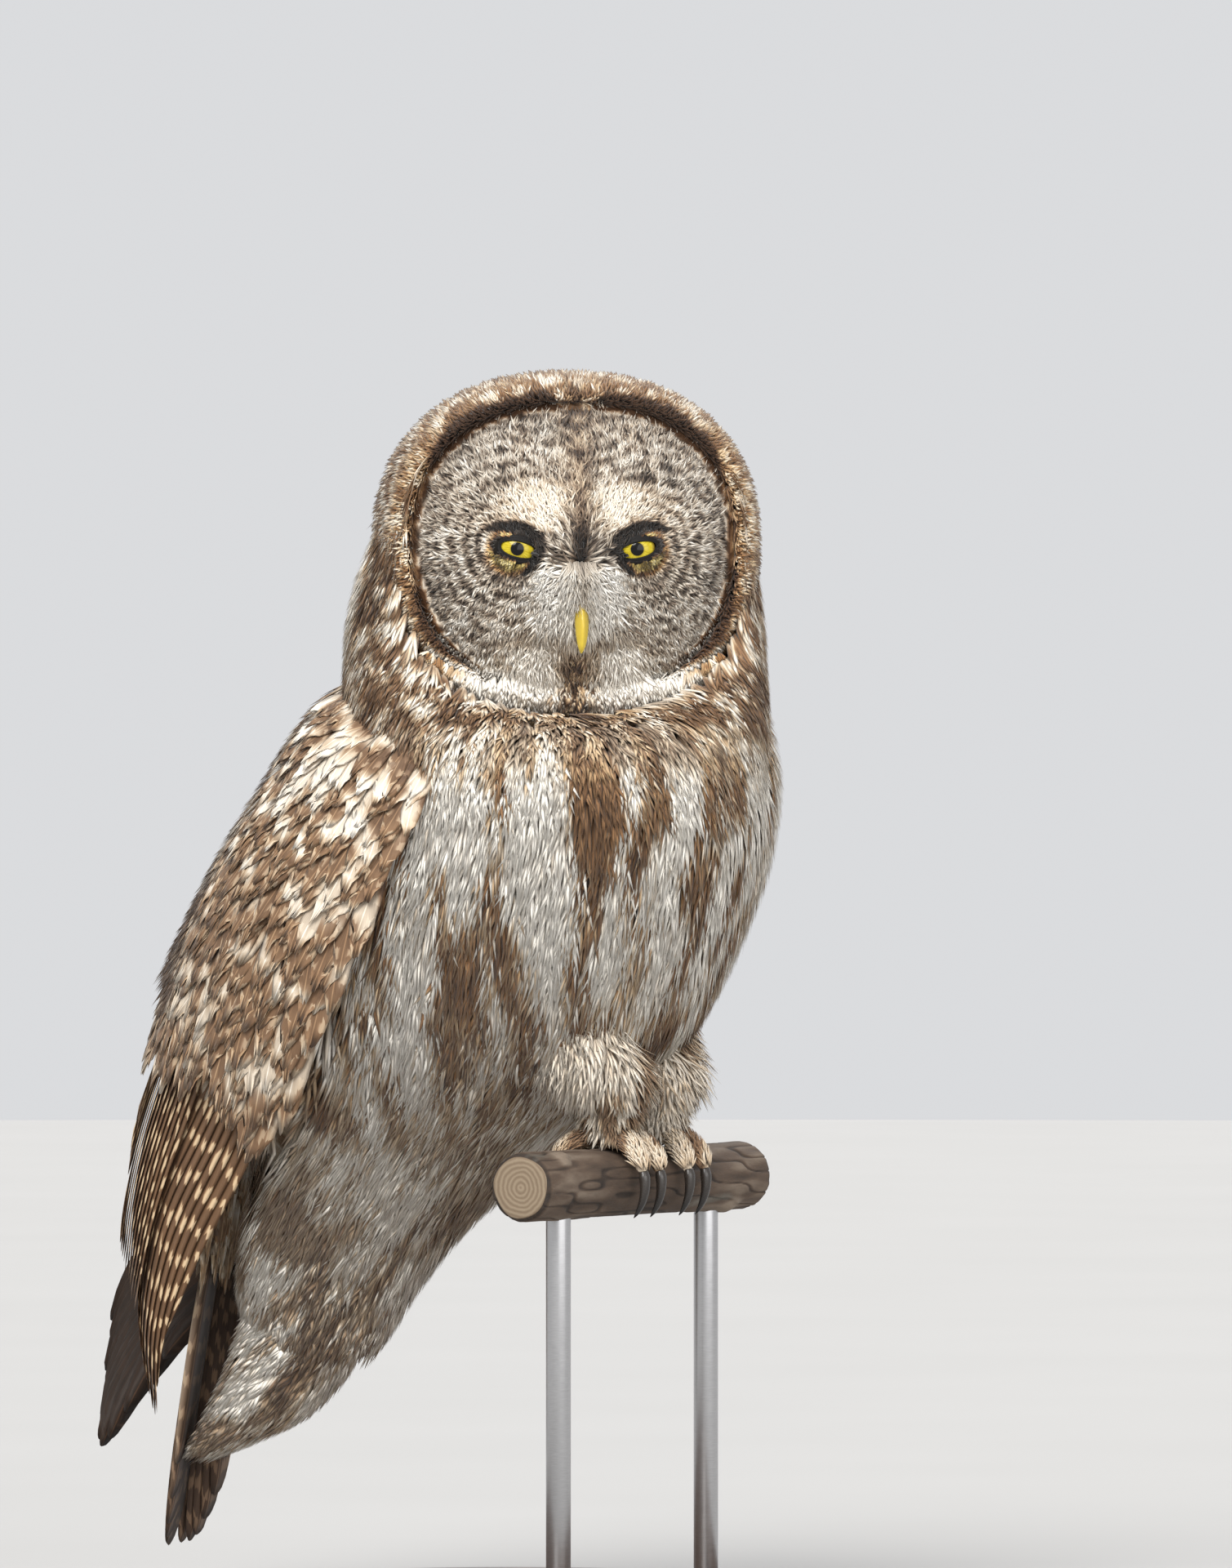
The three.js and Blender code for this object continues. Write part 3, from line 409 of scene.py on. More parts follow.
def walk(sheet, s, t, aim, length, fractions, yaw, curl):
    """Lays paths on the sheet: the aim, a direction or a function that gives one for each point, is
    pressed flat at each step, turned by yaw and followed."""
    points, normals, sides = [], [], []
    s, t = s.copy(), t.copy()
    for k, fraction in enumerate(fractions):
        p, n, ds, dt = sheet.at(s, t)
        d = aim(p) if callable(aim) else aim
        d = unit(d - np.sum(d * n, -1, keepdims=True) * n)
        turn = (yaw + curl * fraction)[:, None]
        heading = d * np.cos(turn) + np.cross(n, d) * np.sin(turn)
        points.append(p)
        normals.append(n)
        sides.append(np.cross(n, heading))
        if k + 1 < len(fractions):
            step = length * (fractions[k + 1] - fraction)
            aa, bb, cc = np.sum(ds * ds, -1), np.sum(ds * dt, -1), np.sum(dt * dt, -1)
            ra, rb = np.sum(ds * heading, -1) * step, np.sum(dt * heading, -1) * step
            det = np.maximum(aa * cc - bb * bb, 1e-6)
            s += np.clip((cc * ra - bb * rb) / det, -0.2, 0.2)
            t += np.clip((aa * rb - bb * ra) / det, -0.2, 0.2)
    return np.stack(points, 1), np.stack(normals, 1), np.stack(sides, 1)


print("feathers walk in steps on a Sheet; random numbers come from one seeded source")

# %% Sheets of the trunk, collar and undertail
COLLAR_REACH = math.radians(125)
X_AXIS, Y_AXIS = np.array([1.0, 0.0, 0.0]), np.array([0.0, 1.0, 0.0])


def collar_point(share, turn):
    """From under the ruff in an outward curve down to breast, shoulder or nape; turn 0 is the chin."""
    share, turn = np.broadcast_arrays(np.asarray(share, float), np.asarray(turn, float))
    ring = crown_point(np.full(turn.shape, 0.2), turn - math.pi / 2)
    height = 402 + 72 * smooth(np.abs(turn), 0.7, 1.8)
    foot = body_point(height, HEAD_TURN + turn - math.pi / 2)
    knee = np.concatenate([foot[..., :2], mix(ring[..., 2:], foot[..., 2:], 0.34)], -1)
    u = share[..., None]
    return (1 - u) ** 2 * ring + 2 * u * (1 - u) * knee + u**2 * foot


# Way, then y and z of the middle, half depth and half width.
UNDERTAIL = [[0.0, 178, 164, 35, 34], [0.25, 189, 140, 33, 33], [0.5, 205, 116, 27, 29],
             [0.75, 225, 97, 17, 23], [1.0, 243, 82, 8, 18]]


def undertail_rings(share, columns, inward=0.0):
    """Ellipses along the wedge from the belly's end to the tail."""
    y, z, deep, half = read_table(UNDERTAIL, share).T
    path = np.stack([0 * y, y, z], -1)
    down = np.cross(X_AXIS, unit(np.gradient(path, axis=0)))
    angle = np.linspace(0, 2 * np.pi, columns)
    return (path[:, None] + X_AXIS * ((half - inward)[:, None] * np.cos(angle))[..., None]
            + down[:, None] * ((deep - inward)[:, None] * np.sin(angle))[..., None])


AROUND = np.linspace(0, 2 * np.pi, 181)
body_sheet = Sheet(body_point(np.linspace(560, 72, 150)[:, None], AROUND[None, :]), (0, 80, 330), wrap=True)
collar_turn = np.linspace(-COLLAR_REACH, COLLAR_REACH, 161)
collar_sheet = Sheet(collar_point(np.linspace(0, 1, 41)[:, None], collar_turn[None, :]), (0, 40, 440))
undertail_sheet = Sheet(undertail_rings(np.linspace(0, 1, 31), 61), (0, 205, 120), wrap=True)
quarter, half_way = undertail_rings(np.linspace(0, 1, 5), 5)[0, [1, 3], 2]
UNDERTAIL_DOWN = -np.sign(quarter - half_way)
print("body, collar and undertail ready, body rows", body_sheet.rows)

# %% Sheets of the head, wings and tail
SCAPULAR_REACH = 0.5
WING_REACH, TAIL_REACH = 1.5, 1.5
FACE_LEFT, FACE_TOP, FACE_WIDE, FACE_TALL = -80.0, 70.0, 160.0, 146.0


def scapular_grid(sheet, hand, rows=41, columns=25):
    """From the middle of the wing's top over its trailing edge and down on to the back."""
    share = np.linspace(0, SCAPULAR_REACH, rows)
    on_wing = []
    for side, lift in ((0.3, 11.5), (0.7, 13.5), (0.96, 10.0)):
        point, normal, _, _ = sheet.at(share, 0.5 + 0.5 * side / WING_REACH)
        on_wing.append(point + lift * normal)
    on_back = trunk_point(on_wing[2][:, 2], np.pi / 2 - hand * 0.10) + np.array([0.0, 2.0, 0.0])
    keys = np.array([0.0, 0.36, 0.64, 1.0])
    way = np.linspace(0, 1, columns)
    across = np.stack([*on_wing, on_back], axis=1)
    return np.stack([read_table(np.column_stack([keys, line]), way) for line in across])


face_x = np.linspace(FACE_LEFT, FACE_LEFT + FACE_WIDE, 129)[None, :]
face_z = np.linspace(FACE_TOP, FACE_TOP - FACE_TALL, 129)[:, None]
face_sheet = Sheet(head_point(face_x, face_depth(face_x, face_z), face_z), HEAD_CENTRE)
crown_sheet = Sheet(crown_point(np.linspace(0, 0.985, 90)[:, None], AROUND[None, :]), HEAD_CENTRE, wrap=True)
wing_sheets, wing_halves, scapular_sheets = {}, {}, {}
for word, is_left in (("right", False), ("left", True)):
    grid, wing_halves[word] = wing_grid(97, 49, WING_REACH, is_left)
    wing_sheets[word] = Sheet(grid, (0, 120, 300))
    scapular_sheets[word] = Sheet(scapular_grid(wing_sheets[word], 1 if is_left else -1), (0, 100, 330))
grid, tail_half = tail_grid(65, 25, TAIL_REACH)
tail_sheet = Sheet(grid, (0, 0, 200))
print("sheets ready for face, crown, wings, scapulars and tail")

# %% [markdown]
# ## Markings
#
# Skin and feathers have to carry the same markings, or bare spots would show through. So one set of
# functions works out two values for any point of the bird: `tone`, from black through brown and grey
# to white, and `warmth`, from cold grey to brown. A material later turns the two into a colour.

# %% Markings of the face


def blotch(points, size, low, high, seed):
    """Noise sharpened into patches: 0 outside them and 1 inside."""
    return smooth(noise(points, size, seed), low, high)


def out_of_disc(points):
    """How far a point lies outside the disc's edge, seen from the front; far out behind the face."""
    x, forward, z = head_coords(points)
    return np.hypot(x, z) - disc_edge(np.arctan2(z, x)) + 60 * smooth(-forward, -4, 22)


def from_line(x, z, line):
    """Distance from a bent line and the share of the way along it where it is nearest."""
    line = np.array(line, float)
    best, way = np.full(x.shape, 1e9), np.zeros(x.shape)
    for k in range(len(line) - 1):
        a, d = line[k], line[k + 1] - line[k]
        t = np.clip(((x - a[0]) * d[0] + (z - a[1]) * d[1]) / (d @ d), 0, 1)
        away = np.hypot(x - a[0] - t * d[0], z - a[1] - t * d[1])
        way = np.where(away < best, (k + t) / (len(line) - 1), way)
        best = np.minimum(best, away)
    return best, way


# Upper and lower edge of the white bow by the distance from the middle line.
BOW_EDGES = [[0, -59, -72], [6, -60, -78], [20, -64, -84], [30, -67, -85], [45, -69, -81],
             [60, -63, -71], [76, -53, -58]]
BROW_LINE = [[-10.6, -0.5], [-8.4, 4.6], [-3.4, 8.2], [3.0, 10.4], [9.0, 10.8], [14.6, 9.2]]
CORNER_LINE = [[-9.8, 4.0], [-11.0, -2.0], [-9.4, -5.6], [-6.0, -8.8], [-3.2, -11.6]]


def bow_share(x, z):
    """1 on the white patches under the disc, split in the middle."""
    side = np.abs(x)
    top, bottom = np.moveaxis(read_table(BOW_EDGES, side), -1, 0)
    return (smooth(top - z, -2.0, 1.5) * smooth(z - bottom, -3.5, 0.5) * smooth(side, 3.0, 6.5)
            * (1 - smooth(side, 68, 76)))


def face_marks(x, z):
    """Rings round each eye, a pale cross of brows and lores, a dark stripe, and black round the eyes."""
    flat = np.stack([x, z, np.zeros_like(x)], -1)
    side = np.abs(x)
    ex, ez = side - EYE_X, z - EYE_Z
    r = np.hypot(ex, ez)
    wobble = 4.2 * (noise(flat, 12, 3) - 0.5) + 3.0 * (noise(flat, 4.5, 4) - 0.5)
    ring = 0.5 + 0.5 * np.cos(2 * np.pi * (r + wobble) / 5.8)
    dashes = smooth(ring + 0.9 * (noise(flat, (3.4, 2.6, 2), 5) - 0.5), 0.40, 0.86)
    speckle = noise(flat, 2.2, 6)
    tone = 0.80 - 0.60 * dashes * (0.5 + 0.75 * speckle) + 0.14 * (noise(flat, 14, 7) - 0.5)
    # Painted light: the lower half of the disc, which faces down into shade, is made paler.
    tone = tone + 0.07 * smooth(-z, 0, 45)
    warmth = 0.08 + 0.16 * noise(flat, 9, 8) + 0.12 * dashes
    # Pale brows and lores that spread from the bridge above the bill.
    brow = bell(ex + 5 + 0.35 * (ez - 12), 16.5) * smooth(ez, 4.5, 10) * (1 - smooth(ez, 24, 36))
    lore = bell(ex + 17 - 0.22 * (ez + 24), 12.5) * smooth(-ez, 5, 12) * (1 - smooth(-ez, 34, 46))
    pale = np.clip(brow * 1.35 + lore * 1.15, 0, 1)
    tone = mix(tone, mix(0.90, 0.79, brow) + 0.14 * speckle - 0.10 * lore * dashes, pale)
    warmth = mix(warmth, mix(0.12, 0.44, brow / np.maximum(brow + lore, 1e-6)), pale)
    # Mottled dark stripe down the middle, widest at the crown.
    stripe = bell(x, mix(3.2, 9.0, smooth(z, 2, 62))) * smooth(z, -22, -6)
    tone = mix(tone, 0.18 + 0.50 * blotch(flat, 3.2, 0.45, 0.62, 9) * smooth(z, -2, 20), 0.88 * stripe)
    warmth = mix(warmth, 0.55, 0.7 * stripe)
    # Greyish brown wash on both sides of the bill, then the pale tufts under it.
    shade = bell(side - 24, 17) * bell(z + 48, 4)
    tone = mix(tone, 0.42 + 0.25 * speckle, 0.75 * shade)
    wash = bell(side - 6, 5) * bell(z + 56, 7)
    tone = mix(tone, 0.45 + 0.2 * speckle, 0.75 * wash)
    warmth = mix(warmth, 0.55, 0.8 * wash)
    tuft = bell(side - 19, 14) * bell(z + 60 - 0.25 * (side - 17), 9)
    tone = mix(tone, 0.97 + 0.05 * speckle, np.clip(1.5 * tuft, 0, 1))
    warmth = mix(warmth, 0.30, tuft)
    # Olive patches, mottled, outside and under the eye.
    olive = bell(ex - 3, 12) * bell(ez + 1.0, 11.5) * (1 - smooth(-ex, 5, 10))
    fleck = blotch(flat, (2.8, 2.0, 2.0), 0.42, 0.62, 11)
    tone = mix(tone, 0.34 + 0.46 * fleck, np.clip(1.25 * olive, 0, 1))
    warmth = mix(warmth, 1.8, smooth(olive, 0.25, 0.60))
    # Black above the eye, down beside its inner corner, and a thin line round the lids.
    away, way = from_line(ex, ez, BROW_LINE)
    over = 1 - smooth(away - np.interp(way, [0, 0.5, 0.8, 1.0], [3.7, 3.1, 2.0, 0.8]), -0.6, 1.0)
    away, way = from_line(ex, ez, CORNER_LINE)
    corner = 1 - smooth(away - mix(3.3, 1.3, way), -0.6, 1.0)
    lids = 1 - smooth(np.hypot((ex - 0.8) / 11.2, (ez - 0.18 * ex) / 5.3), 1.0, 1.18)
    black = np.clip(over + corner + lids, 0, 1)
    tone = mix(tone, 0.03, black)
    warmth = mix(warmth, 0.3, black)
    bridge = bell(x, 2.3) * bell(z + 7, 14)
    tone = mix(tone, 0.06, np.clip(1.2 * bridge, 0, 1))
    bow = bow_share(x, z - 5)
    bib = bell(x + 0.5, mix(9.5, 6.0, smooth(-z, 60, 76))) * smooth(-z, 52, 60)
    tone = mix(tone, 0.97, bow)
    dark = 0.24 + 0.50 * blotch(flat, (2.6, 4.0, 3.0), 0.46, 0.62, 12)
    return mix(tone, dark, np.clip(1.1 * bib, 0, 1)), mix(mix(warmth, 0.16, bow), 0.7, 0.8 * bib)


def ruff_marks(points, out):
    """Bands round the disc by the distance outside its edge: black brown, golden, then mottled."""
    x, forward, z = head_coords(points)
    angle = np.arctan2(z, x)
    low = smooth(-np.sin(angle), 0.05, 0.6)
    top = smooth(np.sin(angle), 0.30, 0.80)
    notched = bell(x, 9.0) * smooth(z, 40, 56)
    dark_width = mix(mix(1.2, 8.0, top), 6.4, low) * (1 - notched) - 7.0 * notched
    wave = 3.0 * (noise(points, 8, 21) - 0.5) + 2.4 * (noise(points, 2.6, 20) - 0.5)
    band = 1 - smooth(out + wave, dark_width - 1.0, dark_width + 2.0)
    fringe = np.exp(-(np.maximum(np.abs(out - dark_width - 5.0) - 3.0, 0) / 3.0) ** 2) * (1 - 0.8 * top)
    flecks = blotch(points, (3.2, 3.2, 2.6), 0.44, 0.56, 22)
    mottle = blotch(points, (3.8, 3.8, 4.6), 0.50, 0.61, 23) * 0.85 + 0.15 * noise(points, 2.2, 24)
    brown = 0.31 + 0.16 * noise(points, 6, 25) + 0.04 * top
    tone = mix(brown, 0.93, mottle)
    warmth = mix(0.80, 0.26, mottle)
    tone = mix(tone, mix(0.48, 0.92, flecks), 0.92 * fringe)
    warmth = mix(warmth, mix(0.95, 0.70, flecks), 0.92 * fringe)
    tone = mix(tone, mix(0.16, 0.24, low) + 0.10 * (noise(points, 4, 26) - 0.3), band)
    warmth = mix(warmth, mix(0.85, 1.0, low), band)
    # White bow under the disc, split by the dark bib.
    bow = bow_share(x, z - 7) * smooth(forward, -12, 4)
    tone = mix(tone, 0.96 - 0.25 * (1 - flecks) * smooth(-z, 66, 78), bow)
    warmth = mix(warmth, 0.20, bow)
    bib = bell(x, 5.0 + 0.10 * np.maximum(-z - 60, 0)) * smooth(-z, 54, 61) * (1 - smooth(-z, 82, 98))
    tone = mix(tone, 0.24 + 0.45 * flecks, np.clip(1.1 * bib * smooth(forward, 0, 12), 0, 1))
    # Notch of the crown above the stripe.
    notch = bell(x, 5.0) * smooth(z, 50, 58) * (1 - smooth(z, 72, 82)) * smooth(forward, 10, 20)
    return mix(tone, mix(0.28, 0.75, flecks), 0.8 * notch), mix(warmth, 0.6, 0.5 * notch)


print("face tone beside the eye:", np.round(face_marks(np.array([40.0]), np.array([10.0])), 2).tolist())

# %% Markings of body, wings and legs


def streaks(points, narrow, long, seed):
    """Long patches that run with the feathers: upright above, slanting back below the breast."""
    x, y, z = np.moveaxis(points, -1, 0)
    upright = np.stack([np.arctan2(y - 60, x) * 105.0, np.zeros_like(z), z], -1)
    slanting = np.stack([x, 0.7 * (y + z), 0.7 * (y - z)], -1)
    below = 1 - smooth(z, 200, 300)
    return mix(noise(upright, (narrow, 9, long), seed),
               noise(slanting, (narrow, 1.4 * narrow, long), seed), below)


# Soft patches of the breast: viewer's right (mm), height, half sizes and how much darker or paler.
BREAST_PATCHES = [[-72, 405, 20, 34, 0.26], [-104, 437, 13, 14, -0.20], [-34, 428, 26, 16, -0.12],
                  [-12, 404, 12, 14, -0.22], [-30, 385, 8, 20, -0.10], [30, 420, 34, 30, -0.02]]


def body_marks(points):
    """Brown upright streaks on white and grey, mottled and barred behind, grey and soft below."""
    z = points[..., 2]
    x, forward, _ = head_coords(points)
    seen = 0.5 * points[..., 0] - 0.866 * points[..., 1]
    near = smooth(-0.866 * points[..., 0] - 0.5 * points[..., 1], -30, 10)
    back = smooth(points[..., 1], 95, 170) * smooth(z, 205, 300)
    back = np.clip(back + (1 - smooth(forward, -48, -8)) * smooth(z, 400, 440), 0, 1)
    streak = 0.62 * streaks(points, 6.8, 42, 31) + 0.38 * streaks(points, 3.0, 22, 32)
    density = mix(0.52, 0.56, smooth(z, 200, 420)) + 0.12 * (noise(points, 55, 33) - 0.5)
    for right, height, wide, tall, shift in BREAST_PATCHES:
        density = density + shift * bell(seen - right, wide) * bell(z - height, tall) * near
    dark = smooth(streak, density - 0.08, density + 0.09)
    ground = mix(0.96, 1.04, noise(points, 20, 34)) - 0.10 * smooth(noise(points, (9, 9, 16), 30), 0.5, 0.8)
    tone = mix(ground, 0.36 + 0.18 * noise(points, 9, 35), 0.92 * dark)
    warmth = mix(0.20, 0.86, dark)
    # The throat is closely streaked in grey brown.
    throat = bell(z - 438, 15) * smooth(forward, 5, 40)
    fine = streaks(points, 3.8, 18, 29)
    tone = mix(tone, mix(0.46, 0.92, smooth(fine, 0.40, 0.62)), 0.75 * throat)
    warmth = mix(warmth, 0.46, 0.7 * throat)
    # Softer and greyer under the belly and tail.
    low = 1 - smooth(z, 215, 290)
    pale = 0.92 - 0.34 * smooth(streak, 0.50, 0.60) + 0.12 * (noise(points, 15, 36) - 0.5)
    tone = mix(tone, pale, 0.8 * low)
    warmth = mix(warmth, 0.30, 0.6 * low)
    # Mottled and barred grey brown on back and nape.
    bars = 0.5 + 0.5 * np.sin(2 * np.pi * (z + 9 * noise(points, 14, 37)) / 8.0)
    spots = blotch(points, (6, 6, 9), 0.46, 0.61, 39)
    back_tone = 0.34 + 0.30 * bars * noise(points, 7, 38) + 0.42 * spots
    return mix(tone, back_tone, back), mix(warmth, mix(0.66, 0.28, spots), back)


def wing_marks(points):
    """Grey brown with pale, cooler mottling that grows more and paler towards the shoulder."""
    shoulder = smooth(points[..., 2], 340, 420)
    spots = blotch(points, (7, 7, 9), 0.56 - 0.10 * shoulder, 0.70 - 0.08 * shoulder, 41)
    fine = noise(points, 3.0, 42)
    tone = 0.28 + 0.20 * fine + mix(0.34, 0.48, shoulder) * spots
    return tone, mix(0.72, 0.24, spots)


def leg_marks(points):
    """Cream grey fluff with soft brown streaks."""
    streak = noise(points, (7, 7, 26), 51)
    dark = smooth(streak, 0.50, 0.68)
    return mix(0.86, 0.50, dark) + 0.10 * (noise(points, 5, 52) - 0.5), mix(0.34, 0.60, dark)


print("breast tone:", [round(float(v), 2) for v in body_marks(np.array([[-60.0, -20.0, 400.0]]))[0]])

# %% [markdown]
# ## Closed feathers, many at a time
#
# Soft plumage is made of tufts, and each tuft of a few locks: a lock is a thin three-sided spike that
# ends in a point. Firm feathers are vanes: a curved grid on top, closed underneath. Both are one small
# pattern of triangles that is repeated with whole-array sums, and both are closed, so they also hold
# as solids. Hair particles would look alike but can't be kept in a solid model.

# %% Mesh piece
pieces = {}


def mesh_piece(name, points, triangles, material, replaces=(), fields=None, maps=None):
    """Puts arrays into a mesh: points in owl millimetres, triangles, values and UV maps per point."""
    mesh = bpy.data.meshes.new(name)
    mesh.vertices.add(len(points))
    mesh.vertices.foreach_set("co", to_metres(points).astype(np.float32).ravel())
    mesh.loops.add(triangles.size)
    mesh.loops.foreach_set("vertex_index", triangles.astype(np.int32).ravel())
    mesh.polygons.add(len(triangles))
    mesh.polygons.foreach_set("loop_start", np.arange(0, triangles.size, 3, dtype=np.int32))
    mesh.polygons.foreach_set("use_smooth", np.ones(len(triangles), bool))
    mesh.update(calc_edges=True)
    for key, values in (fields or {}).items():
        layer = mesh.attributes.new(key, "FLOAT", "POINT")
        layer.data.foreach_set("value", np.broadcast_to(values, len(points)).astype(np.float32))
    for key, values in (maps or {}).items():
        layer = mesh.uv_layers.new(name=key)
        layer.data.foreach_set("uv", values[triangles.ravel()].astype(np.float32).ravel())
    mesh.materials.append(material)
    piece = bpy.data.objects.new(name, mesh)
    bpy.context.scene.collection.objects.link(piece)
    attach(piece, "root")
    if replaces:
        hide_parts(*replaces)
    pieces[name] = len(triangles)
    print(name, len(triangles), "triangles")


def grid_triangles(rows, columns, wrap=False):
    """Two triangles for each cell of a grid of points."""
    i = np.arange(rows - 1)[:, None]
    j = np.arange(columns if wrap else columns - 1)[None, :]
    k = (j + 1) % columns
    a, b, c, d = i * columns + j, i * columns + k, (i + 1) * columns + k, (i + 1) * columns + j
    return np.concatenate([np.stack(corners, -1).reshape(-1, 3) for corners in ((a, b, c), (a, c, d))])


BAKE_PATCH = 0.003


def bake_map(lot):
    """Each feather's own patch on the sheet's unwrap, at its root's place."""
    centre = np.stack([0.01 + 0.98 * np.mod(lot["t"], 1.0), 0.01 + 0.98 * np.clip(lot["s"], 0, 1)], -1)
    own = np.stack([lot["across"] - 0.5, lot["along"] - 0.5], -1)
    return centre + BAKE_PATCH * own


def feather_lot(verts, template, along, across, **each):
    """A lot of feathers, one row of verts each: points, triangles, every point's place on its feather,
    and what holds for each whole feather."""
    total, size = verts.shape[:2]
    triangles = template[None] + (np.arange(total) * size)[:, None, None]
    lot = {"points": verts.reshape(-1, 3), "triangles": triangles.reshape(-1, 3),
           "along": np.broadcast_to(along, (total, size)).ravel(),
           "across": np.broadcast_to(across, (total, size)).ravel()}
    for key, values in each.items():
        lot[key] = np.repeat(values, size, axis=0)
    return lot


# %% Locks
LOCK_STEPS = [0.0, 0.34, 0.7, 1.0]


def lock_template(rows):
    """Rings of left, right and ridge points, closed at the root, ending in one point."""
    rings = rows - 1
    last = 3 * (rings - 1)
    root = np.array([[0, 2, 1]])
    tip = np.array([[last + k, last + (k + 1) % 3, 3 * rings] for k in range(3)])
    return np.concatenate([grid_triangles(rings, 3, wrap=True), root, tip])


def locks(sheet, s, t, aim, length, width, depth, count=4, spread=0.30, ruffle=0.12, tip_lift=0.0,
          thickness=0.45):
    """Tufts of count locks that fan out from each root and rise from the skin to the envelope.

    Each lock's path is walked over the sheet. Its height over the sheet starts at minus the coat's
    depth and reaches zero near the tip, where tip_lift lets it stand off a little.
    """
    roots, rows = len(s), len(LOCK_STEPS)
    total = roots * count
    place = np.tile(np.linspace(-1, 1, count), roots)
    tuft = np.repeat(np.arange(roots), count)
    length, width, depth, tip_lift = (np.broadcast_to(v, roots)[tuft] for v in (length, width, depth,
                                                                                tip_lift))
    own = rng.random(roots)[tuft]
    lean = rng.normal(0, ruffle, roots)[tuft]
    reach = length * (1 - 0.16 * place**2) * rng.uniform(0.82, 1.06, total)
    yaw = lean + spread * place + rng.normal(0, 0.05, total)
    bend = -0.25 * spread * place + rng.normal(0, 0.12, total)
    points, normals, sides = walk(sheet, s[tuft], t[tuft], aim, reach, LOCK_STEPS, yaw, bend)
    f = np.array(LOCK_STEPS)
    profile = np.interp(f, [0, 0.4, 0.75, 1.0], [0.32, 0.50, 0.36, 0.0])
    half = (width * rng.uniform(0.8, 1.2, total))[:, None] * profile[None, :]
    layer = (rng.uniform(0, 1, roots)[tuft] * 0.25 + rng.uniform(0, 0.12, total))[:, None]
    rise = -depth[:, None] * ((1 - f) ** 1.15 * (1 - 0.15 * layer) + 0.35 * layer * f)
    rise = rise + tip_lift[:, None] * f**2 * rng.uniform(0.2, 1.0, total)[:, None]
    centre = points + normals * rise[..., None]
    ridge = centre + normals * (thickness * np.interp(f, [0, 0.4, 1], [1.0, 0.9, 0.0]))[None, :, None]
    corners = [centre - sides * half[..., None], centre + sides * half[..., None], ridge]
    rings = np.stack(corners, axis=2)[:, :-1].reshape(total, -1, 3)
    verts = np.concatenate([rings, centre[:, -1:]], axis=1)
    along = np.append(np.repeat(f[:-1], 3), 1.0)
    within = np.append(np.tile([-1.0, 1.0, 0.0], rows - 1), 0.0)[None, :]
    across = 0.5 + 0.5 * (place[:, None] * (1 - 0.5 / count) + within * 0.5 / count)
    return feather_lot(verts, lock_template(rows), along, across, own=own, s=s[tuft], t=t[tuft],
                       root=points[:, 0])


# %% Vanes


def vane_template(rows, columns):
    """A grid on top; underneath, its edges are joined to the points of one middle line."""
    middle = rows * columns + np.arange(rows - 2)
    left = np.arange(rows) * columns
    right = left + columns - 1
    faces = []
    for k in range(rows - 3):
        a, b = middle[k], middle[k + 1]
        faces += [[left[k + 1], left[k + 2], b], [left[k + 1], b, a]]
        faces += [[right[k + 1], a, b], [right[k + 1], b, right[k + 2]]]
    root = [left[1], *range(columns), right[1]]
    tip = [right[-2], *range(rows * columns - 1, (rows - 1) * columns - 1, -1), left[-2]]
    for chain, centre in ((root, middle[0]), (tip, middle[-1])):
        faces += [[chain[k], centre, chain[k + 1]] for k in range(len(chain) - 1)]
    return np.concatenate([grid_triangles(rows, columns), np.array(faces)])


def vane_lot(points, normals, sides, heading, edge, rise, back, thickness, **each):
    """Firm feathers on their paths: edge goes across, rise off the sheet and back along each vane."""
    total, rows, columns = edge.shape
    top = (points[:, :, None] + sides[:, :, None] * edge[..., None]
           + normals[:, :, None] * rise[..., None] + heading[:, :, None] * back[..., None])
    centre = top[:, 1:-1, columns // 2] - normals[:, 1:-1] * thickness
    verts = np.concatenate([top.reshape(total, -1, 3), centre], axis=1)
    f, side = np.linspace(0, 1, rows), np.linspace(-1, 1, columns)
    along = np.concatenate([np.repeat(f, columns), f[1:-1]])
    across = np.concatenate([np.tile(0.5 + 0.5 * side, rows), np.full(rows - 2, 0.5)])
    return feather_lot(verts, vane_template(rows, columns), along, across, root=points[:, 0], **each)


def vanes(sheet, s, t, aim, length, width, lifts, columns=5, ruffle=0.08, tip_lift=0.0, camber=0.10,
          thickness=0.5, ragged=0.10, shape=(0.45, 0.9, 1.0, 0.8, 0.36)):
    """Firm feathers: a cambered grid whose width follows a profile and whose tip is ragged.

    Lifts holds a row of heights over the sheet for each feather, or one row for all. Two draws are
    passed over, so that the random numbers after them stay what they are.
    """
    total, rows = len(s), lifts.shape[1]
    own = rng.random(total)
    rng.normal(0, 1, total)
    f, side = np.linspace(0, 1, rows), np.linspace(-1, 1, columns)
    points, normals, sides = walk(sheet, s, t, aim, length, f, rng.normal(0, ruffle, total), np.zeros(total))
    width = np.broadcast_to(width, total)[:, None]
    half = width / 2 * np.interp(f, np.linspace(0, 1, len(shape)), shape)[None, :]
    rng.random(total)
    width = width[:, :, None]
    # The tip is round, with single barbs a little longer or shorter.
    round_tip = (1 - np.sqrt(1 - 0.82 * side**2))[None, None, :] * f[None, :, None] ** 4
    fray = ragged * rng.normal(0, 1, (total, 1, columns)) * f[None, :, None] ** 3
    back = -(round_tip * width * 0.62) + fray * width
    rise = (lifts + tip_lift * f**3)[:, :, None] + camber * width * (1 - side[None, None, :] ** 2)
    edge = half[:, :, None] * side[None, None, :]
    return vane_lot(points, normals, sides, np.cross(sides, normals), edge, rise, back, thickness,
                    own=own, s=s, t=t)


def joined(parts):
    """Several lots of feathers in one."""
    offset, whole = 0, {key: [] for key in parts[0]}
    for part in parts:
        for key, values in part.items():
            whole[key].append(values + offset if key == "triangles" else values)
        offset += len(part["points"])
    return {key: np.concatenate(values) for key, values in whole.items()}


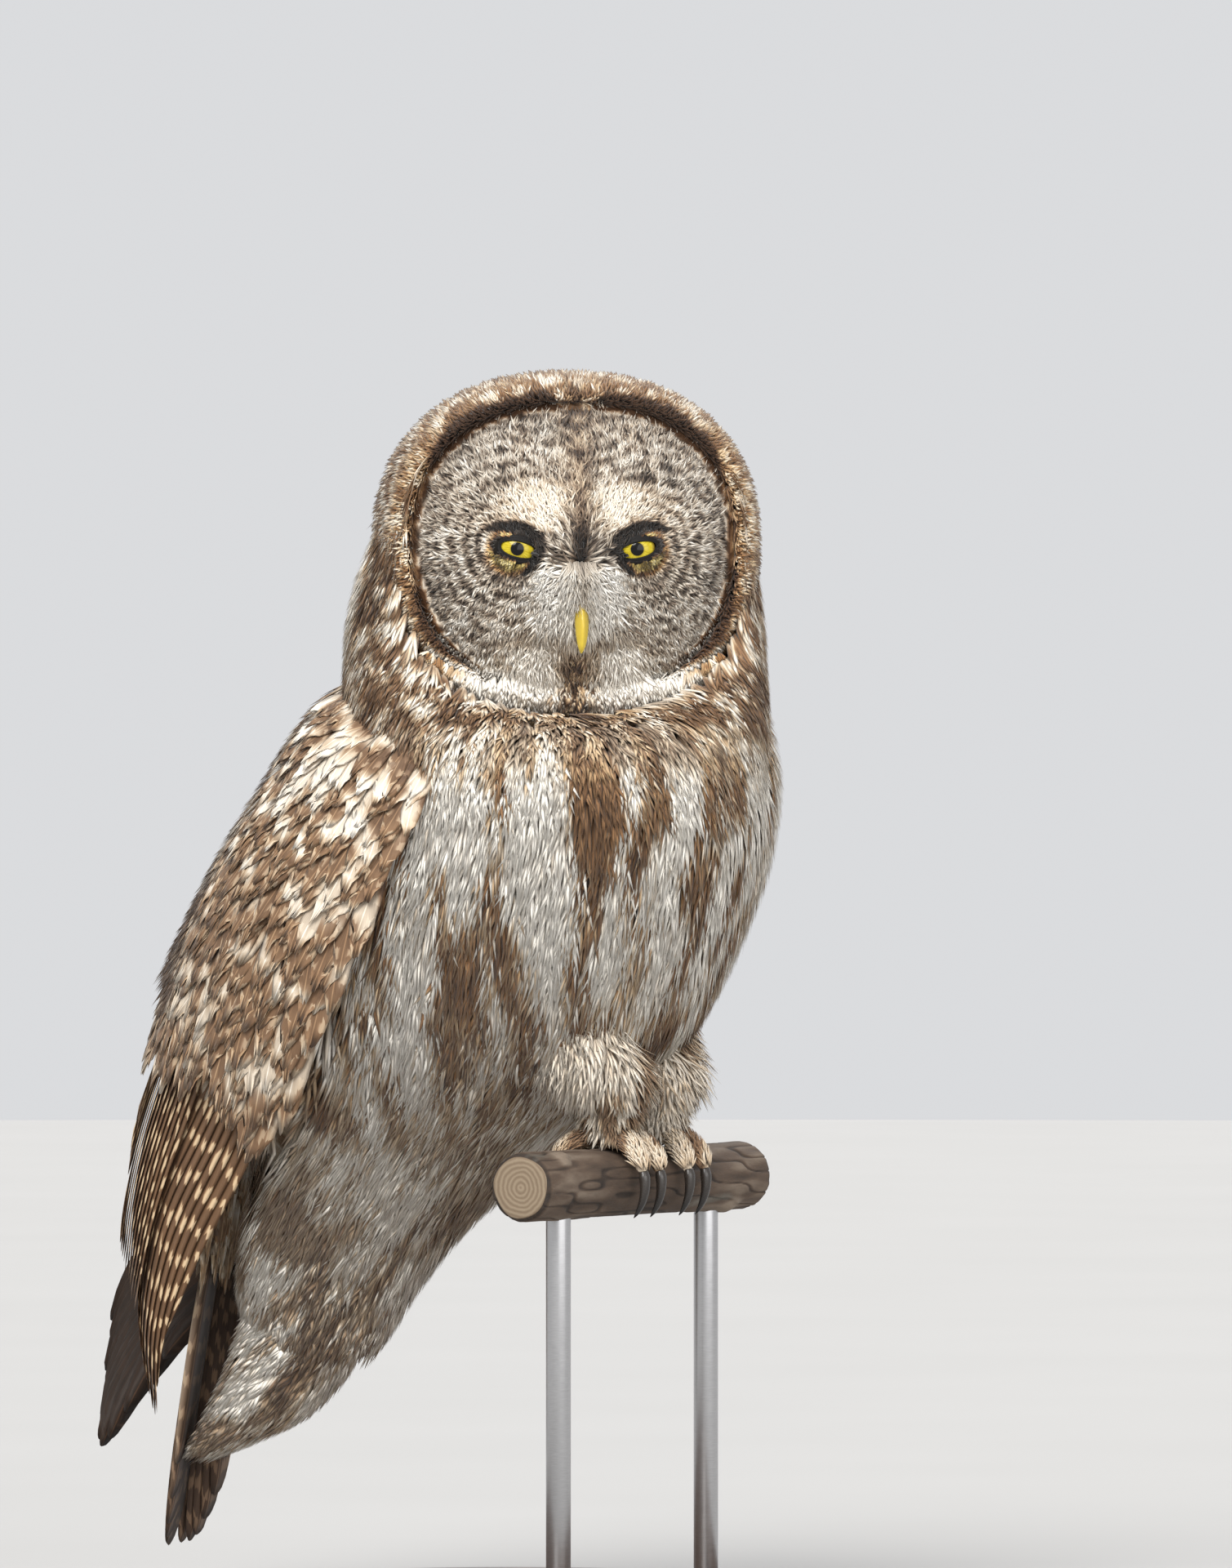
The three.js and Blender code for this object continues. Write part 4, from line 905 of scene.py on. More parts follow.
def facing(lot):
    """Turns a lot's triangles round if most of its ridges point inwards, told by its volume."""
    p, tri = lot["points"], lot["triangles"]
    a, b, c = (p[tri[:60000, k]] for k in range(3))
    if np.sum(a * np.cross(b, c)) < 0:
        lot["triangles"] = tri[:, ::-1]
    return lot


def coat(name, lot, tone, warmth, material, slot, replaces=(), **fields):
    """A piece of plumage with its markings, vane map and bake map."""
    lot = facing(lot)
    fields = {"tone": np.clip(tone, 0, 1), "warmth": np.clip(warmth, 0, 2), "own": lot["own"], **fields}
    maps = {"Vane": np.stack([lot["across"], lot["along"]], -1), "OFBake": bake_map(lot)}
    mesh_piece(name, lot["points"], lot["triangles"], material, replaces, fields, maps)


print("lock faces", len(lock_template(4)), "vane faces", len(vane_template(6, 5)))

# %% [markdown]
# ## Plumage as a material
#
# All feathers share two node groups. "Plumage colour" turns tone and warmth into a colour along a cold
# and a warm ramp. "Barb streaks" draws the fine barbs from each feather's own map, with one number per
# feather so that no two are alike. The patterns stay on the feathers, wherever the camera stands.

# %% Node helpers
board = {}


class Wire:
    """A node's output that can be added, subtracted and multiplied: each such step is a Math node."""

    def __init__(self, socket):
        self.socket = socket

    def __add__(self, other):
        return calc("ADD", self, other)

    def __sub__(self, other):
        return calc("SUBTRACT", self, other)

    def __rsub__(self, other):
        return calc("SUBTRACT", other, self)

    def __mul__(self, other):
        return calc("MULTIPLY", self, other)


def feed(socket, value):
    """Links a wire to a socket, or sets the socket to a number, colour or vector."""
    if isinstance(value, Wire):
        board["tree"].links.new(value.socket, socket)
    else:
        socket.default_value = value


def node(kind, inputs=(), output=0, **settings):
    """Adds a node to the tree on the board: its settings, then its inputs by name or number."""
    made = board["tree"].nodes.new("ShaderNode" + kind)
    for key, value in settings.items():
        setattr(made, key, value)
    for key, value in dict(inputs).items():
        feed(made.inputs[key], value)
    return Wire(made.outputs[output])


def calc(operation, a, b=0.0, clamp=False):
    """A Math node's result."""
    return node("Math", enumerate((a, b, 0.0)), operation=operation, use_clamp=clamp)


def ranged(value, low, high, to_low=0.0, to_high=1.0):
    """Maps a value from one range to another with smooth ends."""
    return node("MapRange", enumerate((value, low, high, to_low, to_high)), interpolation_type="SMOOTHSTEP")


def mixed(factor, a, b):
    """A blend of two colours."""
    return node("Mix", {"Factor": factor, 6: a, 7: b}, output=2, data_type="RGBA")


def ramp(value, stops):
    """A colour ramp with (place, colour) stops."""
    wire = node("ValToRGB", {0: value})
    elements = wire.socket.node.color_ramp.elements
    while len(elements) < len(stops):
        elements.new(0.5)
    for element, (place, colour) in zip(elements, stops):
        element.position = place
        element.color = (*colour, 1.0)
    return wire


def grain(scale, detail, roughness, vector=None):
    """A Noise Texture's value, on Object coordinates unless a vector is given."""
    return node("TexNoise", {"Vector": vector or node("TexCoord", output="Object"), "Scale": scale,
                             "Detail": detail, "Roughness": roughness})


def mapping(**inputs):
    """Object coordinates, moved by Location or stretched by Scale."""
    return node("Mapping", {"Vector": node("TexCoord", output="Object"), **inputs})


def attribute(name):
    """One of a piece's own values per point."""
    return node("Attribute", output="Fac", attribute_name=name)


def bump(height, strength, distance):
    """A Bump node's normal."""
    return node("Bump", {"Strength": strength, "Distance": distance, "Height": height})


def new_group(name, output, inputs):
    """Puts a new node group on the board: one named output, inputs as (name, kind, default)."""
    group = bpy.data.node_groups.new(name, "ShaderNodeTree")
    board["tree"] = group
    for label, kind, default in inputs:
        socket = group.interface.new_socket(label, in_out="INPUT", socket_type=kind)
        if default is not None:
            socket.default_value = default
    group.interface.new_socket(output[0], in_out="OUTPUT", socket_type=output[1])
    start, end = group.nodes.new("NodeGroupInput"), group.nodes.new("NodeGroupOutput")
    return group, [Wire(start.outputs[label]) for label, _, _ in inputs], end.inputs[0]


def new_material(name):
    """Puts a new material's empty tree on the board."""
    material = bpy.data.materials.new(name)
    material.use_nodes = True
    material.node_tree.nodes.clear()
    board.update(tree=material.node_tree, material=material)


def finished(inputs):
    """Adds the Principled shader with its inputs, and the output, to the material on the board."""
    shader = node("BsdfPrincipled", inputs)
    feed(board["tree"].nodes.new("ShaderNodeOutputMaterial").inputs[0], shader)
    return board["material"]


# %% Plumage groups
FLOAT = "NodeSocketFloat"
COLD_RAMP = [(0.0, (0.006, 0.005, 0.004)), (0.25, (0.046, 0.039, 0.031)), (0.5, (0.190, 0.167, 0.139)),
             (0.75, (0.52, 0.478, 0.415)), (1.0, (0.95, 0.925, 0.87))]
WARM_RAMP = [(0.0, (0.008, 0.004, 0.002)), (0.25, (0.066, 0.029, 0.012)), (0.5, (0.270, 0.134, 0.052)),
             (0.75, (0.64, 0.41, 0.18)), (1.0, (0.94, 0.83, 0.64))]
OLIVE_RAMP = [(0.0, (0.007, 0.005, 0.002)), (0.25, (0.055, 0.038, 0.009)), (0.5, (0.235, 0.175, 0.045)),
              (0.75, (0.55, 0.46, 0.17)), (1.0, (0.92, 0.84, 0.52))]

colour_group, (tone, warmth), out = new_group(
    "Plumage colour", ("Color", "NodeSocketColor"), [("Tone", FLOAT, 0.5), ("Warmth", FLOAT, 0.5)])
cold, warm, olive = (ramp(tone, stops) for stops in (COLD_RAMP, WARM_RAMP, OLIVE_RAMP))
feed(out, mixed(ranged(warmth, 1.0, 2.0), mixed(warmth, cold, warm), olive))

streak_group, (vane, own, across, along, slant), out = new_group(
    "Barb streaks", ("Value", FLOAT),
    [("Vane", "NodeSocketVector", None), ("Own", FLOAT, 0.0), ("Across", FLOAT, 14.0), ("Along", FLOAT, 2.0),
     ("Slant", FLOAT, 0.0)])
vane_x = node("SeparateXYZ", {0: vane})
vane_y = Wire(vane_x.socket.node.outputs[1])
place = node("CombineXYZ", {0: vane_x * across, 1: vane_y * along - calc("ABSOLUTE", vane_x - 0.5) * slant,
                            2: own * 91.0})
feed(out, grain(1.0, 2.0, 0.6, place))


def barbs(across, along, slant=0.0):
    """The fine barbs of a feather, from its own map and its own number."""
    inputs = {"Vane": node("UVMap", uv_map="Vane"), "Own": attribute("own"), "Across": across, "Along": along}
    return node("Group", {**inputs, "Slant": slant}, node_tree=streak_group)


def plumage_colour(tone, warmth):
    """The colour that goes with a tone and a warmth."""
    return node("Group", {"Tone": tone, "Warmth": warmth}, node_tree=colour_group)


def plumage_material(name, across, along, contrast):
    """Tone and warmth from the piece, streaked by the barbs, with a fine relief."""
    new_material(name)
    streak = barbs(across, along)
    tone = calc("ADD", attribute("tone"), (streak - 0.5) * contrast, clamp=True)
    return finished({"Base Color": plumage_colour(tone, attribute("warmth")), "Roughness": 0.78,
                     "Sheen Weight": 0.12, "Specular IOR Level": 0.25, "Normal": bump(streak, 0.35, 0.0004)})


def barred_material(name, pale_tone, pale_warmth, low, high, near, far, along=46.0):
    """A firm vane: pale bars where the piece's bar value turns, off the shaft, and slanting barbs."""
    new_material(name)
    fine, patches = barbs(3.0, along, 26.0), barbs(4.0, 7.0, 4.0)
    off_shaft = calc("ABSOLUTE", node("SeparateXYZ", {0: node("UVMap", uv_map="Vane")}) - 0.5)
    turned = attribute("bar") + patches * 0.9
    wave = calc("SINE", turned * (2 * math.pi)) * 0.5 + 0.5 + (fine - 0.5) * 0.5
    bars = ranged(wave, low, high) * attribute("pale") * ranged(off_shaft, near, far)
    shaft = ranged(off_shaft, 0.014, 0.04, 1.0, 0.0) * 0.16
    ground = attribute("tone") + ((fine - 0.5) * 0.16 + shaft)
    tone = calc("ADD", ground, bars * (pale_tone - ground), clamp=True)
    warmth = attribute("warmth")
    colour = plumage_colour(tone, warmth + bars * (pale_warmth - warmth))
    return finished({"Base Color": colour, "Roughness": 0.62, "Specular IOR Level": 0.3, "Sheen Weight": 0.05,
                     "Normal": bump(fine, 0.3, 0.0003)})


face_material = plumage_material("Facial disc feathers", 9.0, 1.4, 0.34)
ruff_material = plumage_material("Head and ruff feathers", 12.0, 1.8, 0.30)
soft_material = plumage_material("Soft body feathers", 16.0, 1.6, 0.26)
covert_material = barred_material("Wing coverts", 0.86, 0.30, 0.56, 0.80, 0.10, 0.26, along=18.0)
flight_material = barred_material("Flight feathers", 0.76, 0.66, 0.66, 0.86, 0.26, 0.36)
tail_material = barred_material("Tail feathers", 0.66, 0.52, 0.60, 0.88, 0.03, 0.14)
print("plumage materials ready")

# %% [markdown]
# ## One skin
#
# Under the feathers lies one closed skin for head, neck, trunk, legs, toes and the fleshy parts of
# wings and tail, so no seam can show between them. Each part is a loft of rings, drawn in from the
# envelope by the coat's depth. A voxel remesh melts the lofts into one surface and a little smoothing
# takes the steps off. The skin carries the same markings as the feathers over it.

# %% Lofts


def loft(rings):
    """Rings of points joined side by side, closed by a fan at each end."""
    rows, columns = rings.shape[:2]
    points = np.concatenate([rings.reshape(-1, 3), rings[:1].mean(axis=1), rings[-1:].mean(axis=1)])
    j = np.arange(columns)
    k = (j + 1) % columns
    last = (rows - 1) * columns
    start = np.stack([np.full(columns, rows * columns), k, j], -1)
    end = np.stack([np.full(columns, rows * columns + 1), last + j, last + k], -1)
    triangles = np.concatenate([grid_triangles(rows, columns, wrap=True), start, end])
    a, b, c = (points[triangles[:, corner]] - points[0] for corner in range(3))
    if np.sum(a * np.cross(b, c)) < 0:
        triangles = triangles[:, ::-1]
    return points, triangles


def round_angles(count):
    """Evenly spread angles of a closed ring."""
    return np.arange(count) * 2 * np.pi / count


def curve_through(points, count):
    """Evenly keyed places on a Catmull-Rom curve through a few points."""
    keys = np.linspace(0, 1, len(points))
    return read_table(np.column_stack([keys, points]), np.linspace(0, 1, count))


def tube(path, radius_a, radius_b, sides, hint):
    """Ellipses carried along a path: radius_a across, radius_b towards the hint's side."""
    along = unit(np.gradient(path, axis=0))
    a = unit(np.cross(along, hint))
    b = np.cross(a, along)
    angle = round_angles(sides)[None, :, None]
    ra, rb = (np.broadcast_to(radius, len(path))[:, None, None] for radius in (radius_a, radius_b))
    return loft(path[:, None] + a[:, None] * ra * np.cos(angle) + b[:, None] * rb * np.sin(angle))


def drawn_in(points, depth):
    """Points moved towards the head's centre."""
    away = points - HEAD_CENTRE
    return points - depth * away / np.linalg.norm(away, axis=-1, keepdims=True)


FACE_COAT, CROWN_COAT, LEG_COAT, TOE_COAT = 4.5, 9.0, 7.0, 2.2
LEG_SECTIONS = [[306, 31, 22, 30], [284, 29, 14, 27.5], [268, 26, 6, 24], [256, 24, 2, 18.5],
                [249, 23, 0, 14.5]]
FOOT_SPREAD, TOE_RADIUS, ANKLE_RADIUS = 23.0, 6.2, 9.5
GRIP_RADIUS = PERCH_RADIUS + 0.7 + TOE_RADIUS
# Each toe: its way round the branch and how far its end splays.
TOES = {"front_inner": (-1, -9.0), "front_middle": (-1, 7.0), "back_outer": (1, 12.0),
        "back_inner": (1, -8.0)}
TOE_SWEEP = 82.0
HANDS = (("right", -1), ("left", 1))


def body_coat_depth(height):
    """The body's coat is deepest on the trunk and thins towards the tail."""
    return np.interp(height, [72, 112, 150, 220, 470, 560], [3.0, 5.0, 8.0, 13.0, 13.0, 9.0])


def grip_point(side, toe, degrees, radius):
    """A point of the arc that a toe or claw follows round the branch, from its top."""
    way, splay = TOES[toe]
    angle = np.radians(degrees)
    x = side * (FOOT_SPREAD + splay * smooth(degrees, -10, 60))
    return np.stack([x, way * radius * np.sin(angle), PERCH_Z + radius * np.cos(angle)], -1)


def flesh_rings(sheet, reach, share, side, top, bottom, flat):
    """Rings round the flesh in a wing or tail: along the sheet's top, and back along its underside."""
    point, normal, _, _ = sheet.at(share[:, None], 0.5 + 0.5 * side[None, :] / reach)
    round_edge = np.sqrt(1 - flat * (side / -side[0]) ** 2)[None, :]
    over, under = (point + normal * (thick[:, None] * round_edge)[..., None] for thick in (top, bottom))
    return np.concatenate([over, under[:, ::-1]], axis=1)


def wing_flesh(word):
    """The wing's flesh ends a little beyond the middle of its length."""
    share, keys = np.linspace(0.015, 0.56, 26), [0, 0.06, 0.125, 0.25, 0.375, 0.5, 0.56]
    top = np.interp(share, keys, [4, 6.5, 8, 7, 4.5, 2, 0.5])
    bottom = np.interp(share, keys, [-7, -9, -10, -8, -6, -3, -2])
    return flesh_rings(wing_sheets[word], WING_REACH, share, np.linspace(-0.96, 0.94, 21), top, bottom, 0.92)


def tail_flesh():
    """The tail's fleshy end, from inside the rump."""
    share = np.linspace(0.02, 0.4, 14)
    thick = np.interp(share, [0, 0.3, 0.4], [6.0, 4.0, 0.8])
    return flesh_rings(tail_sheet, TAIL_REACH, share, np.linspace(-0.9, 0.9, 15), thick, -1.2 * thick, 0.9)


def trunk_lofts():
    """Trunk, undertail and collar."""
    height = np.linspace(552, 140, 110)[:, None]
    point, normal, _, _ = body_sheet.at((560 - height) / (560 - 72), np.arange(120)[None, :] / 120)
    yield loft(point - normal * body_coat_depth(height)[..., None])
    yield loft(undertail_rings(np.linspace(0, 0.96, 20), 49, inward=7.0)[:, :-1])
    s, t = np.linspace(0.02, 1, 24)[None, :], np.linspace(0.02, 0.98, 90)[:, None]
    point, normal, _, _ = collar_sheet.at(s, t)
    over = point - normal * mix(8.0, 12.0, s)[..., None]
    yield loft(np.concatenate([over, (point - 40 * normal)[:, ::-1]], axis=1))


def head_loft():
    """The disc from its middle to its edge, then the rings on round the head."""
    angle = round_angles(144)
    radius = np.linspace(0.03, 0.97, 34)[:, None] * disc_edge(angle)[None, :]
    x, z = radius * np.cos(angle), radius * np.sin(angle)
    face = drawn_in(head_point(x, face_depth(x, z), z), FACE_COAT)
    way = np.linspace(0.03, 0.985, 44)[:, None]
    depth = FACE_COAT + (CROWN_COAT - FACE_COAT) * smooth(way, 0.0, 0.3)
    return loft(np.concatenate([face, drawn_in(crown_point(way, angle[None, :]), depth[..., None])]))


def limb_lofts(word, side):
    """Wing, scapulars, leg, ankle and toes of one side."""
    yield loft(wing_flesh(word))
    s, t = np.linspace(0.04, 0.9, 24)[:, None], np.linspace(0.06, 0.96, 20)[None, :]
    point, normal, _, _ = scapular_sheets[word].at(s, t)
    yield loft(np.concatenate([point - 9 * normal, (point - 26 * normal)[:, ::-1]], axis=1))
    z = np.linspace(249, 306, 20)
    x, y, radius = read_table(LEG_SECTIONS, z).T
    yield tube(np.stack([side * x, y, z], -1), radius - LEG_COAT, 1.1 * radius - LEG_COAT, 40, Y_AXIS)
    z = np.linspace(PERCH_Z + PERCH_RADIUS + 4, 256, 8)
    ankle = np.stack([np.full(8, side * FOOT_SPREAD), np.zeros(8), z], -1)
    yield tube(ankle, ANKLE_RADIUS - TOE_COAT, ANKLE_RADIUS - TOE_COAT, 32, Y_AXIS)
    degrees = np.linspace(-8, TOE_SWEEP - 1, 24)
    radius = np.interp(degrees, [-8, 12, 50, TOE_SWEEP], [6.4, 6.4, 6.0, 4.8]) - TOE_COAT + 0.3
    for toe in TOES:
        yield tube(grip_point(side, toe, degrees, GRIP_RADIUS - 0.6), radius, radius, 24, X_AXIS)


def skin_lofts():
    """Every part of the flesh as a closed loft."""
    yield from trunk_lofts()
    yield head_loft()
    for word, side in HANDS:
        yield from limb_lofts(word, side)
    yield loft(tail_flesh())


print("parts of the flesh:", len(list(skin_lofts())))

# %% Skin
SKIN_VOXEL = 2.8


def skin_marks(points):
    """The markings of whichever tract a point of the skin belongs to."""
    x, forward, z = head_coords(points)
    out = out_of_disc(points)
    across, back, height = np.abs(points[..., 0]), points[..., 1], points[..., 2]
    near_head = smooth(z, -92, -80) * (1 - smooth(np.hypot(x, z), 98, 108))
    marks = [mix(body, ruff, near_head) for body, ruff in zip(body_marks(points), ruff_marks(points, out))]
    for tract, where in ((face_marks(x, z), (forward > 18) & (out < 0)),
                         (leg_marks(points), (np.abs(back) < 34) & (height < 268)),
                         (wing_marks(points), (across > 60) & (back > 60) & (height < 440))):
        marks = [np.where(where, new, old) for new, old in zip(tract, marks)]
    # The skin's tone is a tenth darker than the feathers' marks: painted shade under the coat.
    return marks[0] * 0.9, marks[1]


def melted(lofts):
    """Melts lofts into one surface: points and triangles after a voxel remesh and some smoothing."""
    points, triangles, offset = [], [], 0
    for p, tri in lofts:
        points.append(p)
        triangles.append(tri + offset)
        offset += len(p)
    rough = bpy.data.meshes.new("rough skin")
    rough.from_pydata(to_metres(np.concatenate(points)).tolist(), [], np.concatenate(triangles).tolist())
    shell = bpy.data.objects.new("rough skin", rough)
    bpy.context.scene.collection.objects.link(shell)
    remesh = shell.modifiers.new("Remesh", "REMESH")
    remesh.mode = "VOXEL"
    remesh.voxel_size = SKIN_VOXEL * MM
    relax = shell.modifiers.new("Smooth", "SMOOTH")
    relax.iterations = 5
    relax.factor = 0.5
    made = bpy.data.meshes.new_from_object(shell.evaluated_get(bpy.context.evaluated_depsgraph_get()))
    bpy.data.objects.remove(shell)
    made.calc_loop_triangles()
    co = np.zeros(len(made.vertices) * 3)
    made.vertices.foreach_get("co", co)
    tri = np.zeros(len(made.loop_triangles) * 3, np.int32)
    made.loop_triangles.foreach_get("vertices", tri)
    bpy.data.meshes.remove(made)
    return from_metres(co.reshape(-1, 3)), tri.reshape(-1, 3)


def skin_material():
    """The down next to the skin: the plumage's colours with a soft, fine relief."""
    new_material("Skin and down")
    down = grain(900.0, 4.0, 0.6)
    tone = calc("ADD", attribute("tone"), (down - 0.5) * 0.3, clamp=True)
    return finished({"Base Color": plumage_colour(tone, attribute("warmth")), "Roughness": 0.9,
                     "Specular IOR Level": 0.15, "Normal": bump(down, 0.6, 0.001)})


points, triangles = melted(skin_lofts())
tone, warmth = skin_marks(points)
flesh = ["head", "neck", "torso"] + [f"{part}_{word}" for part in ("leg", "foot") for word in ("left", "right")]
mesh_piece("skin", points, triangles, skin_material(), flesh, {"tone": tone, "warmth": warmth})

# %% [markdown]
# ## Eyes and lids
#
# An owl's eye is large, yellow and half hooded. The ball is a fine sphere whose poles lie on the line
# of sight, so iris and pupil are plain rings by the angle from that line. A clear coat on the shader
# stands for the wet cornea. The lids are a closed band, rolled at the edge, that lies on the ball.

# %% Eyes
GAZE_TURN = math.radians(-57.5)
PUPIL_DEGREES, IRIS_DEGREES = 14.5, 42.0


def eye_piece(word, side, material):
    """A sphere round the line of sight with a slight bulge for the cornea."""
    away = np.linspace(0, np.pi, 73)[1:-1, None]
    around = round_angles(96)[None, :]
    radius = EYE_RADIUS * (1 + 0.045 * bell(away, 0.55))
    gaze = np.array([math.sin(GAZE_TURN), -math.cos(GAZE_TURN), 0.0])
    right = np.array([math.cos(GAZE_TURN), math.sin(GAZE_TURN), 0.0])
    centre = head_point(side * EYE_X, EYE_DEPTH, EYE_Z)
    points, triangles = loft(centre + (radius * np.cos(away))[..., None] * gaze
                             + (radius * np.sin(away) * np.cos(around))[..., None] * right
                             + (radius * np.sin(away) * np.sin(around))[..., None] * UP)
    points[-2] = centre + gaze * EYE_RADIUS * 1.045
    points[-1] = centre - gaze * EYE_RADIUS
    offset = points - centre
    from_gaze = np.degrees(np.arccos(np.clip(offset @ gaze / np.linalg.norm(offset, axis=1), -1, 1)))
    turn = np.arctan2(offset @ UP, offset @ right)
    mesh_piece(f"eyeball_{word}", points, triangles, material, [f"eye_{word}"],
               {"degrees": from_gaze, "round_x": np.cos(turn), "round_y": np.sin(turn)})


def eye_material():
    """Black pupil, yellow iris with fine rays and a darker edge, black beyond it."""
    new_material("Eye")
    degrees = attribute("degrees")
    turned = {0: attribute("round_x") * 9.0, 1: attribute("round_y") * 9.0, 2: degrees * 0.05}
    rays = grain(1.0, 4.0, 0.6, node("CombineXYZ", turned))
    yellow = ramp(rays, [(0.25, (0.27, 0.18, 0.008)), (0.5, (0.46, 0.36, 0.016)), (0.75, (0.60, 0.51, 0.06))])
    edge = ranged(degrees, IRIS_DEGREES - 9, IRIS_DEGREES)
    inner = ranged(degrees, PUPIL_DEGREES + 5, PUPIL_DEGREES, 0.0, 0.35)
    colour = mixed(calc("ADD", edge * 0.8, inner, clamp=True), yellow, (0.10, 0.055, 0.008, 1))
    colour = mixed(ranged(degrees, PUPIL_DEGREES + 0.8, PUPIL_DEGREES - 0.8), colour,
                   (0.002, 0.002, 0.002, 1))
    colour = mixed(ranged(degrees, IRIS_DEGREES, IRIS_DEGREES + 3), colour, (0.004, 0.003, 0.003, 1))
    return finished({"Base Color": colour, "Roughness": 0.25, "Coat Weight": 1.0, "Coat Roughness": 0.03,
                     "Coat IOR": 1.30, "Specular IOR Level": 0.05, "Normal": bump(rays, 0.12, 0.0003)})


print("iris", round(2 * EYE_RADIUS * math.sin(math.radians(IRIS_DEGREES)), 1), "mm across")

# %% Lids
OPENING_HALF, OPENING_UP, OPENING_DOWN, OPENING_SLANT = 8.5, 3.4, 4.0, 0.19
# Each row: way out from the edge, height over the ball or, further out, depth under the face.
LID_ROWS = [[0.0, 0.12], [0.0, 0.4], [0.05, 0.75], [0.14, 0.85], [0.24, 0.7], [0.32, 1.0], [0.45, 1.1],
            [0.6, 1.0], [0.8, 0.8], [1.0, 0.4], [1.0, 0.0], [0.6, 0.1], [0.3, 0.08], [0.1, 0.06]]


def lid_piece(word, side, material):
    """A closed band round the almond opening: over the ball at its edge, under the feathers outside."""
    columns = 72
    angle = round_angles(columns)
    c, s = np.cos(angle), np.sin(angle)
    inner_x = OPENING_HALF * c
    inner_z = np.where(s > 0, OPENING_UP, OPENING_DOWN) * s * np.abs(s) ** -0.12 + OPENING_SLANT * inner_x
    inner_z = np.where(np.abs(s) < 1e-9, OPENING_SLANT * inner_x, inner_z)
    rings = []
    for way, height in LID_ROWS:
        x, z = mix(inner_x, 12.4 * c, way), mix(inner_z, 10.2 * s, way)
        ball = EYE_DEPTH + np.sqrt(np.maximum((EYE_RADIUS * 1.02 + height) ** 2 - x**2 - z**2, 4.0))
        face = face_depth(side * (EYE_X + x), EYE_Z + z) - FACE_COAT + height - 1.0
        depth = np.maximum(ball - 0.4, mix(ball, face, smooth(way, 0.5, 1.0)))
        rings.append(head_point(side * (EYE_X + x), depth, EYE_Z + z))
    triangles = grid_triangles(len(LID_ROWS) + 1, columns, wrap=True) % (len(LID_ROWS) * columns)
    lot = facing({"points": np.stack(rings).reshape(-1, 3) - HEAD_CENTRE, "triangles": triangles})
    mesh_piece(f"eyelids_{word}", lot["points"] + HEAD_CENTRE, lot["triangles"], material)


def lid_material():
    """Bare black skin with fine wrinkles."""
    new_material("Lid skin")
    wrinkles = grain(1600.0, 4.0, 0.65)
    return finished({"Base Color": ramp(wrinkles, [(0.3, (0.002, 0.002, 0.002)),
                                                   (0.7, (0.010, 0.008, 0.007))]),
                     "Roughness": ranged(wrinkles, 0.2, 0.8, 0.45, 0.7), "Specular IOR Level": 0.2,
                     "Normal": bump(wrinkles, 0.5, 0.0004)})


eye_look, lid_look = eye_material(), lid_material()
for word, side in HANDS:
    eye_piece(word, side, eye_look)
    lid_piece(word, side, lid_look)

# %% [markdown]
# ## Bill and claws
#
# Horn grows in bent cones. Each is a set of ellipses carried along a short curved path. The upper bill
# has a keel along its ridge and hooks over the lower one. Claws keep on round the branch where the
# toes end. Their materials run darker towards the tip and are smooth with faint growth lines.

# %% Bill and claws
UPPER_BILL = [[46.0, -24.0], [57.0, -30.5], [63.8, -40.0], [64.0, -48.5], [61.8, -54.5]]
LOWER_BILL = [[45.0, -39.0], [54.0, -45.5], [58.6, -51.0]]
CLAW_ARC = 51.0


def bill_piece(name, line, widths, heights, keel, material, stands_for):
    """Ellipses along the bill's line with a keel on the front, closing to a point."""
    forward, z = curve_through(line, 44).T
    path = head_point(np.zeros(44), forward, z)
    way, angle = np.linspace(0, 1, 44), round_angles(48)[None, :]
    across, deep = (np.interp(way, np.linspace(0, 1, len(row)), row)[:, None] for row in (widths, heights))
    front = np.cross(unit(np.gradient(path, axis=0)), HEAD_RIGHT)
    front *= np.sign(front @ HEAD_FORWARD)[:, None]
    ridge = 1 + keel * np.maximum(np.sin(angle), 0) ** 6
    points, triangles = loft(path[:, None] + HEAD_RIGHT * (across * np.cos(angle))[..., None]
                             + front[:, None] * (deep * (np.sin(angle) * ridge))[..., None])
    tip = np.append(np.repeat(way, 48), [0, 1])
    mesh_piece(name, points, triangles, material, [stands_for], {"tip": tip})


def claw_piece(word, side, toe, material):
    """A cone bent on round the branch, widest just behind its root."""
    way = np.linspace(0, 1, 36)
    path = grip_point(side, toe, TOE_SWEEP - 6 + np.linspace(0, CLAW_ARC + 6, 36), GRIP_RADIUS + 0.5 * way)
    radius = np.interp(way, [0, 0.12, 0.4, 0.7, 0.9, 1.0], [2.6, 3.1, 2.6, 1.8, 1.0, 0.25])
    points, triangles = tube(path, 0.86 * radius, radius, 28, X_AXIS)
    mesh_piece(f"talon_{word}_{toe}", points, triangles, material, [f"claw_{word}_{toe}"],
               {"tip": np.append(np.repeat(way, 28), [0, 1])})


def horn_material(name, base, tip, roughness):
    """Horn that changes colour towards its tip, with faint lengthwise growth lines."""
    new_material(name)
    lines = grain(420.0, 5.0, 0.6)
    way = attribute("tip") + (lines - 0.5) * 0.35
    dark = mixed(ranged(lines, 0.3, 0.75), (*base, 1), (*[0.72 * v for v in base], 1))
    return finished({"Base Color": mixed(ranged(way, 0.2, 1.0), dark, (*tip, 1)),
                     "Roughness": ranged(lines, 0.2, 0.8, roughness - 0.06, roughness + 0.1),
                     "Coat Weight": 0.15, "Normal": bump(lines, 0.2, 0.0003)})


